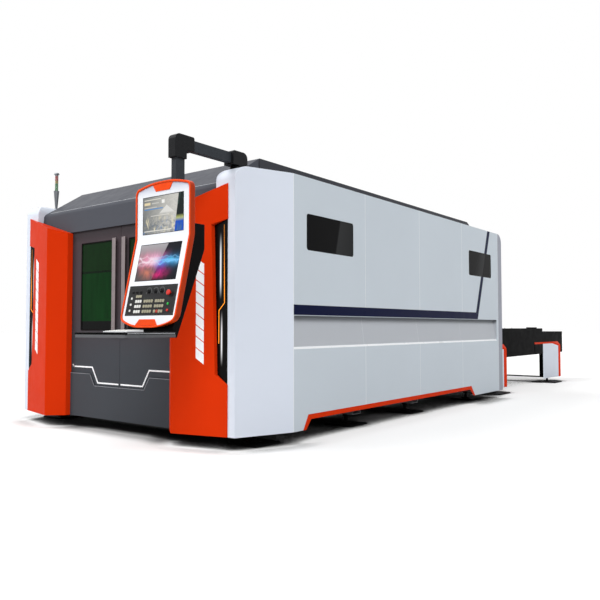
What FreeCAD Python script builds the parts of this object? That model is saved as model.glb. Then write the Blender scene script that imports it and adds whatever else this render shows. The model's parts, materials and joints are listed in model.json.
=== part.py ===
"""Fiber laser cutting machine: enclosed cutting cell with a swinging operator pendant
and a two-level pallet exchange table behind it.

+X runs from the front doors to the end of the exchange table, +Y to the machine's left
seen from the front doors, +Z up. The origin is the middle of the footprint on the floor.
All lengths are in millimetres. "Right" is -Y and "left" is +Y. Depths into the housing
are taken from its outer skin, and X places are counted from the first panel seam.
"""
import FreeCAD, Part
import math
import os

V = FreeCAD.Vector

# ---------------------------------------------------------------- driving dimensions
# Housing skin
half_width = 1620.0
panel_low = 100.0
panel_top = 2150.0
sheet = 4.0
cabinet_depth = 380.0
bay_length = 1072.0
front_bays = 3
last_bay_length = 1135.0
panel_gap = 3.0
flange = 60.0
end_post_length = 132.0
end_post_round = 120.0
corner_run = 488.0
corner_setback = 179.0
corner_round = 100.0
corner_shoulder = 75.0
seat = 0.3

# Pressed groove along the side panels
groove_low = 750.0
groove_high = 1018.0
groove_depth = 50.0
groove_foot = 18.0
groove_ledge = 16.0
groove_end = 59.0

# Notch over the feet and its trim
notch_height = 120.0
notch_front = 122.0
notch_front_run = 68.0
notch_rear = 788.0
notch_rear_run = 108.0
trim_width = 40.0

# Side windows
window_length = 700.0
window_height = 300.0
window_sill = 1552.0
window_round = 26.0
front_window = 171.0
rear_window = 931.0
pane = 6.0
pane_lap = 15.0

# Bed and frame
foot_places = (-120.0, 1195.0, 2360.0, 3980.0)
foot_inset = 121.0
foot_size = 292.0
foot_plate = 16.0
foot_pad_radius = 55.0
foot_pad = 12.0
foot_stem_radius = 18.0
foot_nut_radius = 30.0
foot_nut = 22.0
bed_clear = 104.0
outrigger_width = 140.0
outrigger_height = 120.0
frame_inset = 184.0
rail_wall = 905.0
bed_beam = 225.0
bed_top = 960.0
bed_front = -154.0
bed_rear = 4300.0
bed_port_length = 620.0
bed_port_height = 240.0
bed_port_slope = 60.0
outrigger_wall = 8.0
post = 60.0

# Pallets
pallet_length = 3150.0
pallet_half = 850.0
pallet_beam = 50.0
pallet_height = 100.0
pallet_inside = 700.0
pallet_outside = 4700.0
lower_level = 500.0
upper_level = 690.0
slat_pitch = 150.0
slat = 4.0
slat_height = 115.0
slat_seat = 30.0
tooth_pitch = 200.0
tooth_depth = 32.0
wheel_radius = 40.0
wheel_width = 24.0
wheel_gap = 6.0
axle_radius = 15.0
axle_inset = 500.0
bore_gap = 0.05
rail_ledge = 52.0
rail_plate = 8.0

# Gantry
gantry_place = 3700.0
guide_width = 24.0
guide_height = 28.0
guide_line = 1005.0
rack_line = 1072.0
gantry_depth = 220.0
gantry_low = 1052.0
gantry_height = 238.0
gantry_wall = 12.0
truck_length = 420.0
truck_inner = 960.0
truck_outer = 1110.0
slide_gap = 0.5
carriage_width = 260.0
carriage_plate = 30.0
cross_guide = 20.0
head_width = 150.0
head_depth = 70.0
head_height = 430.0
nozzle_height = 910.0

# Front columns
column_edge_inset = 249.0
column_edge_face = 497.0
column_ridge_inset = 743.0
column_ridge_face = 612.0
column_turn_inset = 896.0
column_turn_face = 490.0
column_jamb_inset = 898.0
column_jamb_face = 434.0
column_edge_top = 2020.0
column_ridge_top = 1869.0
light_box_top = 1743.0
light_box_low = 495.0
light_box_width_top = 137.0
light_box_width_low = 102.0
light_box_slope_top = 34.0
light_box_slope_low = 72.0

# Canopy and roof
canopy_low = 1830.0
canopy_face = 443.0
canopy_fold_face = 425.0
canopy_fold = 2050.0
canopy_round = 55.0
roof_top = 2330.0
roof_front = 13.0
roof_overlap = 10.0
roof_fold = 241.0
roof_rear_low = 2216.0

# Doors, tracks and skirt
door_face = 428.0
leaf_thickness = 36.0
leaf_gap = 2.0
leaf_overlap = 48.0
leaf_low = 292.0
leaf_high = 1880.0
leaf_rim = 40.0
door_window_inner = 123.0
door_window_margin = 143.0
door_window_low = 905.0
door_window_high = 1706.0
door_pane = 8.0
track_gap = 1.0
track_depth = 26.0
track_end_gap = 4.0
handle_inner = 43.0
handle_width = 50.0
handle_thickness = 12.0
handle_standoff = 16.0
handle_low = 850.0
handle_high = 1725.0
handle_post_radius = 10.0
handle_post_inset = 60.0
skirt_face = 443.5
skirt_high = 500.0
skirt_dip = 394.0
skirt_break_high = 419.0
skirt_break_low = 350.0
skirt_return = 6.5

# Signal tower
tower_setback = 225.0
tower_inset = 275.0
tower_cone = 195.0
tower_cone_low = 12.0
tower_cone_high = 28.0
lamp_radius = 17.0
lamp_heights = (77.0, 31.0, 50.0)
tower_cap_radius = 28.0
tower_cap = 30.0

# Suspension arm
arm_setback = 350.0
arm_inset = 295.0
arm_base_radius = 56.0
arm_base_height = 26.0
arm_pin_radius = 30.0
arm_pin_height = 60.0
arm_reach = 605.0
arm_level = 2231.0
arm_tube_height = 82.0
arm_tube_width = 47.0
tube_wall = 5.0
block_front = 88.0
block_rear = 72.0
block_half = 50.0
block_low = 2178.0
block_high = 2286.0
block_round = 45.0
socket = 50.0
elbow_half = 38.0
elbow_front = 60.0
elbow_rear = 50.0
elbow_arm = 124.0
elbow_high = 2291.0
elbow_arm_low = 2186.0
elbow_low = 2120.0
elbow_round = 45.0
elbow_crook = 15.0
drop_tube_low = 1664.0
collar_radius = 48.0
collar_height = 40.0
pendant_pin_radius = 20.0
pendant_pin = 50.0

# Pendant
pendant_face_reach = 145.0
pendant_half = 283.0
pendant_top = 1936.0
pendant_top_break = 110.0
pendant_shoulder = 1900.0
pendant_low = 919.0
pendant_low_break = 140.0
pendant_hip = 972.0
pendant_shoulder_round = 50.0
pendant_crown_round = 800.0
pendant_hip_round = 60.0
pendant_chin_round = 500.0
pendant_bend = 1545.0
pendant_tilt = 12.8
pendant_depth = 45.0
pendant_wall = 3.0
rim_width = 15.0
rim_ledge = 10.0
rim_stand = 8.0
face_plate = 8.0
screen_inset = 1.5
screen_plate = 5.0
screen_half = 212.0
upper_screen_low = 1573.0
upper_screen_high = 1839.0
lower_screen_low = 1241.0
lower_screen_high = 1502.0
key_half = 247.0
key_low = 1002.0
key_high = 1210.0
housing_half = 235.0
housing_top = 1630.0
housing_back = 35.0
housing_knee = 1456.0
housing_foot = 856.0
housing_foot_reach = 210.0
housing_toe = 28.0
tray_half = 262.0
tray_depth = 405.0
tray_low = 877.0
tray_plate = 16.0
tray_lip = 5.0
tray_box_inset = 60.0
tray_box = 19.0
keyboard_length = 235.0
keyboard_depth = 130.0
keyboard_inset = 28.0
keyboard_height = 12.0
keyboard_tail = 20.0

# Operator controls, each by its place across the pendant's middle and its height
estop_place = (-184.0, 1151.0)
start_place = (-180.0, 1079.0)
stop_place = (-184.0, 1036.0)
knob_places = ((35.0, 1167.0), (-33.0, 1167.0), (-96.0, 1168.0))
estop_radius = 19.0
estop_cap = 13.0
estop_stand = 12.0
estop_stem = 8.0
button_radius = 9.0
button_stand = 6.0
button_length = 16.0
knob_radius = 14.0
knob_height = 18.0
knob_skirt = 5.0
control_pocket = 22.0

# Exchange table
table_step = 7050.0
table_rear = 8152.0
table_outer = 1340.0
table_low = 486.0
table_high = 905.0
table_tail_high = 850.0
table_wall = 6.0
table_leg_inner = 1236.0
leg_fronts = (4530.0, 7190.0)
leg_rears = (5260.0, 7860.0)
leg_low = 104.0
leg_foot = 380.0
leg_foot_inset = 28.0
leg_foot_places = (4899.0, 7340.0)
cover_low = 70.0
cover_rim_low = 648.0
cover_fronts = (4530.0, 7060.0)
cover_facet = 320.0
cover_flare = 45.0
cover_bevel = 1.3
rim_fronts = (4530.0, 6640.0)
rim_height = 29.0
rim_band = 80.0
tie_height = 20.0
tie_width = 30.0
tie_setback = 35.0
tie_lap = 52.0
strap_height = 6.0
strap_width = 30.0
strap_setback = 60.0
cross_height = 46.0
cross_width = 140.0
cross_setback = 290.0
cross_lap = 60.0
drive_plate_front = 6645.0
bump_places = (6482.0, 6608.0, 6734.0)
bump_width = 66.0
bump_height = 17.0

# ---------------------------------------------------------------- derived places
skin_length = front_bays * bay_length + last_bay_length
housing_end = skin_length + end_post_length
table_front = housing_end + seat
front_tip = -arm_setback - arm_reach - pendant_face_reach
tilt_slope = math.tan(math.radians(pendant_tilt))
face_foot = front_tip - (pendant_bend - housing_foot) * tilt_slope
tray_rear = -arm_setback - arm_reach - housing_foot_reach - housing_toe
tray_front = tray_rear - tray_depth
seam_x = -(tray_front + table_rear) / 2
inner_line = half_width - cabinet_depth
outrigger_reach = half_width - frame_inset
foot_line = outrigger_reach - foot_inset
leg_foot_line = table_outer - leg_foot_inset
column_edge = half_width - column_edge_inset
column_ridge = half_width - column_ridge_inset
column_turn = half_width - column_turn_inset
column_jamb = half_width - column_jamb_inset
light_box_inner_top = column_edge - light_box_width_top
light_box_inner_low = column_edge - light_box_width_low
door_window_outer = column_jamb - door_window_margin
slat_top = slat_seat + slat_height


def at(distance):
    """X of a place that is counted from the first panel seam."""
    return seam_x + distance


# ---------------------------------------------------------------- shape helpers
def plan_point(a, b, c):
    return V(a, b, c)


def side_point(a, b, c):
    return V(a, c, b)


def front_point(a, b, c):
    return V(c, a, b)


PLANES = {
    "plan": (plan_point, V(0, 0, 1)),
    "side": (side_point, V(0, 1, 0)),
    "front": (front_point, V(1, 0, 0)),
}


def unit(vector):
    return V(vector).normalize()


def rounded_wire(corners, radii):
    """Closed wire through the corners, each one rounded by a tangent arc of its radius."""
    spans = []
    for index, corner in enumerate(corners):
        if radii[index] == 0:
            spans.append((corner, None, corner))
            continue
        back = unit(corners[index - 1] - corner)
        ahead = unit(corners[(index + 1) % len(corners)] - corner)
        half = back.getAngle(ahead) / 2
        setback = radii[index] / math.tan(half)
        middle = unit(back + ahead) * (radii[index] / math.sin(half) - radii[index])
        spans.append((corner + back * setback, corner + middle, corner + ahead * setback))
    edges = []
    for index, span in enumerate(spans):
        before = spans[index - 1][2]
        if before.distanceToPoint(span[0]) > 1e-6:
            edges.append(Part.makeLine(before, span[0]))
        if span[1] is not None:
            edges.append(Part.Arc(span[0], span[1], span[2]).toShape())
    return Part.Wire(edges)


def prism(plane, points, low, high, radii=0.0):
    """Solid with this outline in the plane, from low to high along the plane's normal."""
    spot, normal = PLANES[plane]
    corners = [spot(a, b, low) for a, b in points]
    if not isinstance(radii, (list, tuple)):
        radii = [radii] * len(corners)
    face = Part.Face(rounded_wire(corners, radii))
    return face.extrude(normal * (high - low))


def block(x_span, y_span, z_span):
    size = (x_span[1] - x_span[0], y_span[1] - y_span[0], z_span[1] - z_span[0])
    return Part.makeBox(*size, V(x_span[0], y_span[0], z_span[0]))


def rectangle(low_a, high_a, low_b, high_b):
    return [(low_a, low_b), (high_a, low_b), (high_a, high_b), (low_a, high_b)]


def side_step(start, end):
    """Unit step to the left of the way from start to end, in the sheet's plane."""
    run = (end[0] - start[0], end[1] - start[1])
    length = math.hypot(*run)
    return (-run[1] / length, run[0] / length)


def folded(path, thickness):
    """Outline of a sheet folded along the path and thickened to the path's left."""
    steps = [side_step(start, end) for start, end in zip(path, path[1:])]
    moved = []
    for index, point in enumerate(path):
        before = steps[max(index - 1, 0)]
        after = steps[min(index, len(steps) - 1)]
        share = thickness / (1 + before[0] * after[0] + before[1] * after[1])
        moved.append((point[0] + share * (before[0] + after[0]), point[1] + share * (before[1] + after[1])))
    return path + moved[::-1]


def shrunk(points, gap):
    """Closed outline drawn in by gap; its points run anticlockwise."""
    moved = []
    for index, point in enumerate(points):
        before = side_step(points[index - 1], point)
        after = side_step(point, points[(index + 1) % len(points)])
        share = gap / (1 + before[0] * after[0] + before[1] * after[1])
        moved.append((point[0] + share * (before[0] + after[0]), point[1] + share * (before[1] + after[1])))
    return moved


def cylinder(radius, height, base, direction=V(0, 0, 1)):
    return Part.makeCylinder(radius, height, base, direction)


def turned(points, base, direction=V(0, 0, 1)):
    """Solid of revolution from (radius, height) points, standing on base along direction."""
    wire = Part.makePolygon([V(radius, 0, height) for radius, height in points + points[:1]])
    solid = Part.Face(wire).revolve(V(0, 0, 0), V(0, 0, 1), 360)
    solid.Placement = FreeCAD.Placement(base, FreeCAD.Rotation(V(0, 0, 1), direction))
    return solid


def flat_ring(sides, radius, height):
    steps = [2 * math.pi * step / sides for step in range(sides)]
    return [V(radius * math.cos(angle), radius * math.sin(angle), height) for angle in steps]


def flatted(sides, outline, base, direction=V(0, 0, 1)):
    """Turned shape worked as flats, through (radius, height) points from its foot to its top."""
    rings = [flat_ring(sides, radius, height) for radius, height in outline]
    loops = [rings[0], rings[-1]]
    for low, high in zip(rings, rings[1:]):
        for step in range(sides):
            after = (step + 1) % sides
            loops.append([low[step], low[after], high[after], high[step]])
    shell = Part.Shell([Part.Face(Part.makePolygon(loop + loop[:1])) for loop in loops])
    shell.sewShape()
    solid = Part.Solid(shell)
    if solid.Volume < 0:
        solid.reverse()
    solid = solid.removeSplitter()
    solid.Placement = FreeCAD.Placement(base, FreeCAD.Rotation(V(0, 0, 1), direction))
    return solid


def left(shape):
    """The same piece on the left side of the machine."""
    return shape.mirror(V(0, 0, 0), V(0, 1, 0))


def both(shape):
    return [shape, left(shape)]


def fuse(shapes):
    return shapes[0].multiFuse(shapes[1:]).removeSplitter()


def save(name, *shapes):
    """Write one sub-part: one solid, or a group of separate ones."""
    solids = [solid for shape in shapes for solid in shape.Solids]
    whole = solids[0] if len(solids) == 1 else Part.makeCompound(solids)
    whole.exportStep("parts/" + name + ".step")


# ---------------------------------------------------------------- housing skin
def panel_section(low):
    """Folded section of a right side panel: top flange, outer skin and bottom flange."""
    return folded(
        [
            (-inner_line, panel_top - flange),
            (-inner_line, panel_top),
            (-half_width, panel_top),
            (-half_width, low),
            (-half_width + flange, low),
        ],
        sheet,
    )


def groove_path():
    """The groove's section: level top, sloping back and a narrow ledge."""
    return [
        (-half_width, groove_high),
        (-half_width + groove_depth, groove_high),
        (-half_width + groove_foot, groove_low + groove_ledge),
        (-half_width, groove_low),
    ]


def groove_liner(start, end):
    return prism("front", folded(groove_path(), sheet), start, end)


def groove_cap(place):
    """Plate behind the skin that closes the groove's rear end."""
    outline = folded(groove_path(), sheet)[4:]
    plate = prism("front", outline, place, place + sheet)
    front = block(
        (place, place + sheet),
        (-half_width, -half_width + sheet / 2),
        (groove_low - flange, groove_high + flange),
    )
    return plate.cut(front)


def notch_outline(inset):
    """Edge of the notch over the feet, in X and Z, drawn in by inset."""
    high = panel_low + notch_height - inset
    return [
        (at(notch_front + inset), panel_low),
        (at(notch_front + notch_front_run + inset), high),
        (at(skin_length - notch_rear - notch_rear_run - inset), high),
        (at(skin_length - notch_rear - inset), panel_low),
    ]


def notch_tool(inset, y_low, y_high):
    """Block that clears the notch, drawn in by inset and open below."""
    edge = notch_outline(inset)
    floor = [(edge[-1][0], 0.0), (edge[0][0], 0.0)]
    return prism("side", edge + floor, y_low, y_high)


def window_outline(place, grow):
    return rectangle(
        at(place) - grow,
        at(place) + window_length + grow,
        window_sill - grow,
        window_sill + window_height + grow,
    )


def side_panel(start, end):
    """One right side panel between two seams, with its share of the groove and notch."""
    groove_stop = min(end, skin_length - groove_end)
    skin = prism("front", panel_section(panel_low), at(start), at(end))
    mouth = block(
        (at(start), at(groove_stop)),
        (-half_width - sheet, -half_width + sheet),
        (groove_low, groove_high),
    )
    pieces = [skin.cut(mouth), groove_liner(at(start), at(groove_stop))]
    if groove_stop < end:
        pieces.append(groove_cap(at(groove_stop)))
    panel = fuse(pieces).cut(notch_tool(0.0, -half_width - sheet, -inner_line))
    for place in window_places:
        hole = prism(
            "side", window_outline(place, 0.0), -half_width - sheet, -half_width + 2 * sheet, window_round
        )
        panel = panel.cut(hole)
    return panel


def end_post_piece():
    """Rear end of the side housing, with its top corner rounded down to the rear."""
    x_span = (at(skin_length), at(housing_end))
    outer = prism(
        "side", rectangle(*x_span, panel_low, panel_top), -half_width, -inner_line, [0, 0, end_post_round, 0]
    )
    hollow = prism(
        "side",
        rectangle(x_span[0] - sheet, x_span[1] - sheet, panel_low - sheet, panel_top - sheet),
        -half_width + sheet,
        -inner_line - sheet,
        [0, 0, end_post_round - sheet, 0],
    )
    return outer.cut(hollow)


def corner_plan(inset, rear):
    """Plan of the angled front cabinet; inset draws every wall in, rear is its open end."""
    skew = math.hypot(corner_run, corner_setback) / corner_run
    slope = corner_setback / corner_run
    outer_rear = half_width - inset * skew
    outer_front = outer_rear - slope * (corner_run - inset)
    return [
        (at(rear), -outer_rear),
        (at(-corner_run + inset), -outer_front),
        (at(-corner_run + inset), -inner_line - inset),
        (at(rear), -inner_line - inset),
    ]


def corner_mass(inset, rear, low):
    """Solid of the front cabinet with its rounded front top edge and inner shoulder."""
    plan = corner_plan(inset, rear)
    body = prism("plan", plan, low, panel_top - inset)
    side = prism(
        "side",
        rectangle(at(-corner_run + inset), at(rear), low, panel_top - inset),
        -half_width,
        -inner_line,
        [0, 0, 0, corner_round - inset],
    )
    front = prism(
        "front",
        rectangle(-half_width, -inner_line - inset, low, panel_top - inset),
        at(-corner_run),
        at(rear),
        [0, 0, corner_shoulder - inset, 0],
    )
    return body.common(side).common(front)


def corner_cabinet():
    """Angled front cabinet: a folded shell open to the rear and below."""
    shell = corner_mass(0.0, -panel_gap, panel_low).cut(corner_mass(sheet, 0.0, 0.0))
    relief = block(
        (at(-corner_run + flange), at(0.0)),
        (-inner_line - flange, -inner_line + sheet),
        (0.0, bed_clear + outrigger_height + flange),
    )
    return shell.cut(relief)


# ---------------------------------------------------------------- bed and feet
def machine_bed():
    """Bed sections: outriggers, two box beams with ports and rails, front sill and its spurs."""
    deck = bed_clear + outrigger_height
    parts = []
    for place in foot_places:
        x_span = (at(place) - outrigger_width / 2, at(place) + outrigger_width / 2)
        tube = block(x_span, (-outrigger_reach, outrigger_reach), (bed_clear, deck))
        core = block(
            (x_span[0] + outrigger_wall, x_span[1] - outrigger_wall),
            (-outrigger_reach - 1.0, outrigger_reach + 1.0),
            (bed_clear + outrigger_wall, deck - outrigger_wall),
        )
        parts.append(tube.cut(core))
    parts += both(bed_side(deck))
    sill_x = (at(-door_face) - track_gap - sheet, at(-door_face) + leaf_thickness + track_gap + sheet)
    sill_top = leaf_low - seat - sheet
    parts.append(block(sill_x, (-column_jamb, column_jamb), (bed_clear, sill_top)))
    spur_x = (sill_x[1], at(foot_places[0]) - outrigger_width / 2)
    parts += both(block(spur_x, (-column_jamb, -column_jamb + 2 * post), (bed_clear, deck)))
    return parts


def bed_side(deck):
    """Right beam of the bed, hollow, with inspection ports and two pallet rails."""
    span = (-rail_wall - bed_beam, -rail_wall)
    x_span = (at(bed_front), at(bed_rear))
    beam = block(x_span, span, (deck, bed_top))
    wall = 2.5 * sheet
    core = block(
        (x_span[0] + wall, x_span[1] - wall),
        (span[0] + wall, span[1] - wall),
        (deck + wall, bed_top - wall),
    )
    beam = beam.cut(core)
    count = front_bays + 1
    pitch = (bed_rear - bed_front) / count
    port_low = (deck + lower_level - rail_plate) / 2 - bed_port_height / 2
    for index in range(count):
        middle = at(bed_front) + pitch * (index + 0.5)
        near, far = middle - bed_port_length / 2, middle + bed_port_length / 2
        low, high = port_low, port_low + bed_port_height
        port = [
            (near + bed_port_slope, low),
            (far - bed_port_slope, low),
            (far, low + bed_port_slope),
            (far, high - bed_port_slope),
            (far - bed_port_slope, high),
            (near + bed_port_slope, high),
            (near, high - bed_port_slope),
            (near, low + bed_port_slope),
        ]
        beam = beam.cut(prism("side", port, span[0] - wall, span[1] + wall))
    rails = [pallet_rail(level, at(pallet_inside), at(housing_end)) for level in (lower_level, upper_level)]
    return fuse([beam] + rails)


def pallet_rail(level, start, end):
    """Right ledge that a pallet's wheels run on, just under the wheels."""
    top = level - seat
    return block((start, end), (-rail_wall - 1.0, -rail_wall + rail_ledge), (top - rail_plate, top))


def levelling_foot(place_x, place_y, size, top):
    """Floor plate with its pad, jacking stem and lock nut."""
    plate = block(
        (place_x - size / 2, place_x + size / 2),
        (place_y - size / 2, place_y + size / 2),
        (0.0, foot_plate),
    )
    plate = plate.makeChamfer(foot_plate / 2, [edge for edge in plate.Edges if edge.BoundBox.ZMin > 1.0])
    stem = [
        (foot_pad_radius, foot_plate),
        (foot_pad_radius, foot_plate + foot_pad),
        (foot_stem_radius, foot_plate + foot_pad),
        (foot_stem_radius, top),
    ]
    base = V(place_x, place_y, 0)
    nut = [(foot_nut_radius, top - foot_nut), (foot_nut_radius, top)]
    return fuse([plate, flatted(8, stem, base), flatted(6, nut, base)])


def frame_tubes(inset):
    """Posts and top tube of the housing's frame, every face drawn in by inset."""
    y_span = (-outrigger_reach + inset, -outrigger_reach + post - inset)
    top = panel_top - sheet
    x_span = (at(-corner_run + corner_round + sheet) + inset, at(skin_length) - inset)
    parts = [block(x_span, y_span, (top - post + inset, top - inset))]
    for place in foot_places:
        posts_x = (at(place) - post / 2 + inset, at(place) + post / 2 - inset)
        parts.append(block(posts_x, y_span, (bed_clear + outrigger_height, top - post / 2)))
    return fuse(parts)


def housing_frame_side():
    """Posts on the outriggers and the long top tube that the side panels hang on."""
    return frame_tubes(0.0).cut(frame_tubes(sheet))


# ---------------------------------------------------------------- front and roof
def column_path():
    """Plan of the right front column, from the cabinet to the door jamb."""
    return [
        (at(-corner_run) - seat, -column_edge),
        (at(-column_edge_face), -column_edge),
        (at(-column_ridge_face), -column_ridge),
        (at(-column_turn_face), -column_turn),
        (at(-column_jamb_face), -column_jamb),
    ]


def below_slope(drop):
    """Everything under the column's sloping top edge, lowered by drop."""
    slope = (column_edge_top - column_ridge_top) / (column_edge - column_ridge)
    low_side = column_ridge_top + slope * (column_jamb - sheet - column_ridge) - drop
    high_side = column_edge_top + slope * sheet - drop
    points = [
        (-column_edge - sheet, 0.0),
        (-column_jamb + sheet, 0.0),
        (-column_jamb + sheet, low_side),
        (-column_edge - sheet, high_side),
    ]
    return prism("front", points, at(-column_ridge_face) - flange, at(-column_jamb_face) + flange)


def light_box_outline(margin):
    """Slot in the column's outer edge, in Y and Z, grown by margin."""
    return [
        (-column_edge - margin, light_box_top + margin),
        (-light_box_inner_top + margin, light_box_top - light_box_slope_top + margin),
        (-light_box_inner_low + margin, light_box_low + light_box_slope_low - margin),
        (-column_edge - margin, light_box_low - margin),
    ]


def front_column():
    """Folded column skin with its sloping lid and the slot for the light strip."""
    path = column_path()
    skin = prism("plan", folded(path, -sheet), panel_low, column_edge_top + flange)
    skin = skin.common(below_slope(0.0))
    lid = prism("plan", path, panel_low, column_edge_top + flange)
    lid = lid.common(below_slope(0.0)).cut(below_slope(sheet))
    heights = (panel_low, column_edge_top + flange)
    lid = lid.cut(block((at(-corner_run) - seat, at(0.0)), (-half_width, -inner_line + seat), heights))
    lid = lid.cut(block((at(-canopy_face) - seat, at(0.0)), (-inner_line, 0.0), heights))
    slot = prism(
        "front", light_box_outline(sheet), at(-column_ridge_face) - sheet, at(-corner_run) + sheet
    )
    return fuse([skin, lid]).cut(slot)


def column_light_box():
    """Black plate behind the column's slot, fixed to the cabinet's front."""
    return prism("front", light_box_back(), at(-corner_run) - seat - sheet, at(-corner_run) - seat)


def light_box_back():
    outline = light_box_outline(0.0)
    lap = 2 * sheet
    edge = -column_edge + sheet + seat
    return [
        (edge, outline[0][1] + lap),
        (outline[1][0] + lap, outline[1][1] + lap),
        (outline[2][0] + lap, outline[2][1] - lap),
        (edge, outline[3][1] - lap),
    ]


def canopy_outline(inset):
    """Side section of the canopy: leaning fascia, rounded fold and long slope."""
    rise = roof_top - canopy_fold
    run = canopy_fold_face + roof_front
    length = math.hypot(rise, run)
    drop = inset * length / run
    lean = (canopy_face - canopy_fold_face) / (canopy_fold - canopy_low)
    fold_z = canopy_fold - drop + inset * rise / run
    low = canopy_low - 2 * inset
    return [
        (at(-canopy_face + inset + lean * (low - canopy_low)), low),
        (at(-canopy_face + inset + lean * (fold_z - canopy_low)), fold_z),
        (at(roof_front), roof_top - drop),
        (at(roof_front), low),
    ]


def front_canopy():
    """Hollow canopy over the doors, open below and to the rear, with its end cheeks."""
    half = inner_line - seat
    inner_round = [0, canopy_round - sheet, 0, 0]
    outer = prism("side", canopy_outline(0.0), -half, half, [0, canopy_round, 0, 0])
    hollow = prism("side", canopy_outline(sheet), -half + sheet, half - sheet, inner_round)
    clear_rear = block(
        (at(roof_front) - sheet, at(roof_front) + sheet),
        (-half + sheet, half - sheet),
        (canopy_low - flange, roof_top - 3 * sheet),
    )
    below_cabinets = block(
        (at(-canopy_face) - flange, at(roof_front) + flange),
        (-half - sheet, half + sheet),
        (canopy_low - flange, panel_top - flange),
    )
    open_ends = prism("side", canopy_outline(sheet), -half - sheet, half + sheet, inner_round)
    return outer.cut(hollow).cut(clear_rear).cut(open_ends.common(below_cabinets))


def roof_outline(inset):
    fall = (roof_top - roof_rear_low) / (roof_fold - (housing_end - roof_rear_end()))
    length = math.hypot(1.0, fall)
    return [
        (at(roof_front + inset), panel_top - 2 * inset),
        (at(roof_front + inset), roof_top - inset),
        (at(housing_end - roof_fold), roof_top - inset),
        (at(roof_rear_end() - inset), roof_rear_low - inset * length + inset * fall),
        (at(roof_rear_end() - inset), panel_top - 2 * inset),
    ]


def roof_rear_end():
    return housing_end - roof_overlap


def roof_cover():
    """Low roof box that closes the middle of the cell, standing on the side panels."""
    half = inner_line + roof_overlap
    outer = prism("side", roof_outline(0.0), -half, half)
    hollow = prism("side", roof_outline(sheet), -half + sheet, half - sheet)
    return outer.cut(hollow)


def rear_wall():
    """Rear sheet with the flanged mouth that the pallets pass through."""
    half = inner_line - seat
    face = at(housing_end)
    mouth = (-rail_wall - flange, rail_wall + flange, table_low - flange, table_high + flange)
    wall = block((face - sheet, face), (-half, half), (bed_clear, panel_top))
    tongue = block((face - sheet - flange, face), (-half, half), (panel_top - sheet, panel_top))
    collar = prism("front", rectangle(*mouth), face - flange, face)
    inner = prism(
        "front",
        rectangle(mouth[0] + sheet, mouth[1] - sheet, mouth[2] + sheet, mouth[3] - sheet),
        face - 2 * flange,
        face + flange,
    )
    return fuse([wall, tongue, collar]).cut(inner)


def front_skirt():
    """Fixed sheet under the doors with its stepped top edge and returned rim."""
    half = column_jamb - 2 * seat
    top_edge = [
        (-half, skirt_high),
        (-skirt_break_high, skirt_high),
        (-skirt_break_low, skirt_dip),
        (skirt_break_low, skirt_dip),
        (skirt_break_high, skirt_high),
        (half, skirt_high),
    ]
    face = at(-skirt_face)
    skin = prism("front", [(-half, panel_low)] + top_edge + [(half, panel_low)], face, face + sheet)
    rim = prism("front", folded(top_edge, -sheet), face, face + sheet + skirt_return)
    foot = block((face, face + sheet + skirt_return), (-half, half), (panel_low, panel_low + sheet))
    return fuse([skin, rim, foot])


def door_track(z_span, web):
    """Channel across the front that the leaves slide in; web is its closed side."""
    x_span = (at(-door_face) - track_gap - sheet, at(-door_face) + leaf_thickness + track_gap + sheet)
    half = inner_line - seat
    channel = block(x_span, (-half, half), z_span)
    shift = -sheet if web == "above" else sheet
    slot = (z_span[0] + shift, z_span[1] + shift)
    return channel.cut(block((x_span[0] + sheet, x_span[1] - sheet), (-half - sheet, half + sheet), slot))


# ---------------------------------------------------------------- sliding doors
def leaf_window(margin):
    return rectangle(
        -door_window_outer - margin,
        -door_window_inner + margin,
        door_window_low - margin,
        door_window_high + margin,
    )


def door_leaf():
    """Right door leaf: a pressed front skin with a deep frame round the window."""
    face = at(-door_face)
    outer = (-column_jamb - leaf_overlap, -leaf_gap)
    leaf = block((face, face + leaf_thickness), outer, (leaf_low, leaf_high))
    rear = (face + sheet, face + leaf_thickness + sheet)
    lower_pocket = rectangle(
        outer[0] + leaf_rim, outer[1] - leaf_rim, leaf_low + leaf_rim, door_window_low - 2 * leaf_rim
    )
    leaf = leaf.cut(prism("front", lower_pocket, *rear))
    upper_pocket = rectangle(
        outer[0] + leaf_rim, outer[1] - leaf_rim, door_window_high + 2 * leaf_rim, leaf_high - leaf_rim
    )
    leaf = leaf.cut(prism("front", upper_pocket, *rear))
    leaf = leaf.cut(prism("front", leaf_window(0.0), face - sheet, face + leaf_thickness + sheet))
    return leaf.cut(prism("front", leaf_window(leaf_rim / 2), *rear))


def door_glass():
    """Laser-safe pane seated behind the leaf's front skin."""
    face = at(-door_face) + sheet
    return prism("front", leaf_window(leaf_rim / 2 - seat), face, face + door_pane)


def door_handle():
    """Full-height flat pull bar on two round standoffs."""
    face = at(-door_face)
    bar_face = face - handle_standoff - handle_thickness
    bar = block(
        (bar_face, bar_face + handle_thickness),
        (-handle_inner - handle_width, -handle_inner),
        (handle_low, handle_high),
    )
    parts = [bar]
    for height in (handle_low + handle_post_inset, handle_high - handle_post_inset):
        start = V(bar_face + handle_thickness, -handle_inner - handle_width / 2, height)
        post_line = [(handle_post_radius, 0.0), (handle_post_radius, handle_standoff)]
        parts.append(flatted(12, post_line, start, V(1, 0, 0)))
    return fuse(parts)


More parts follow.
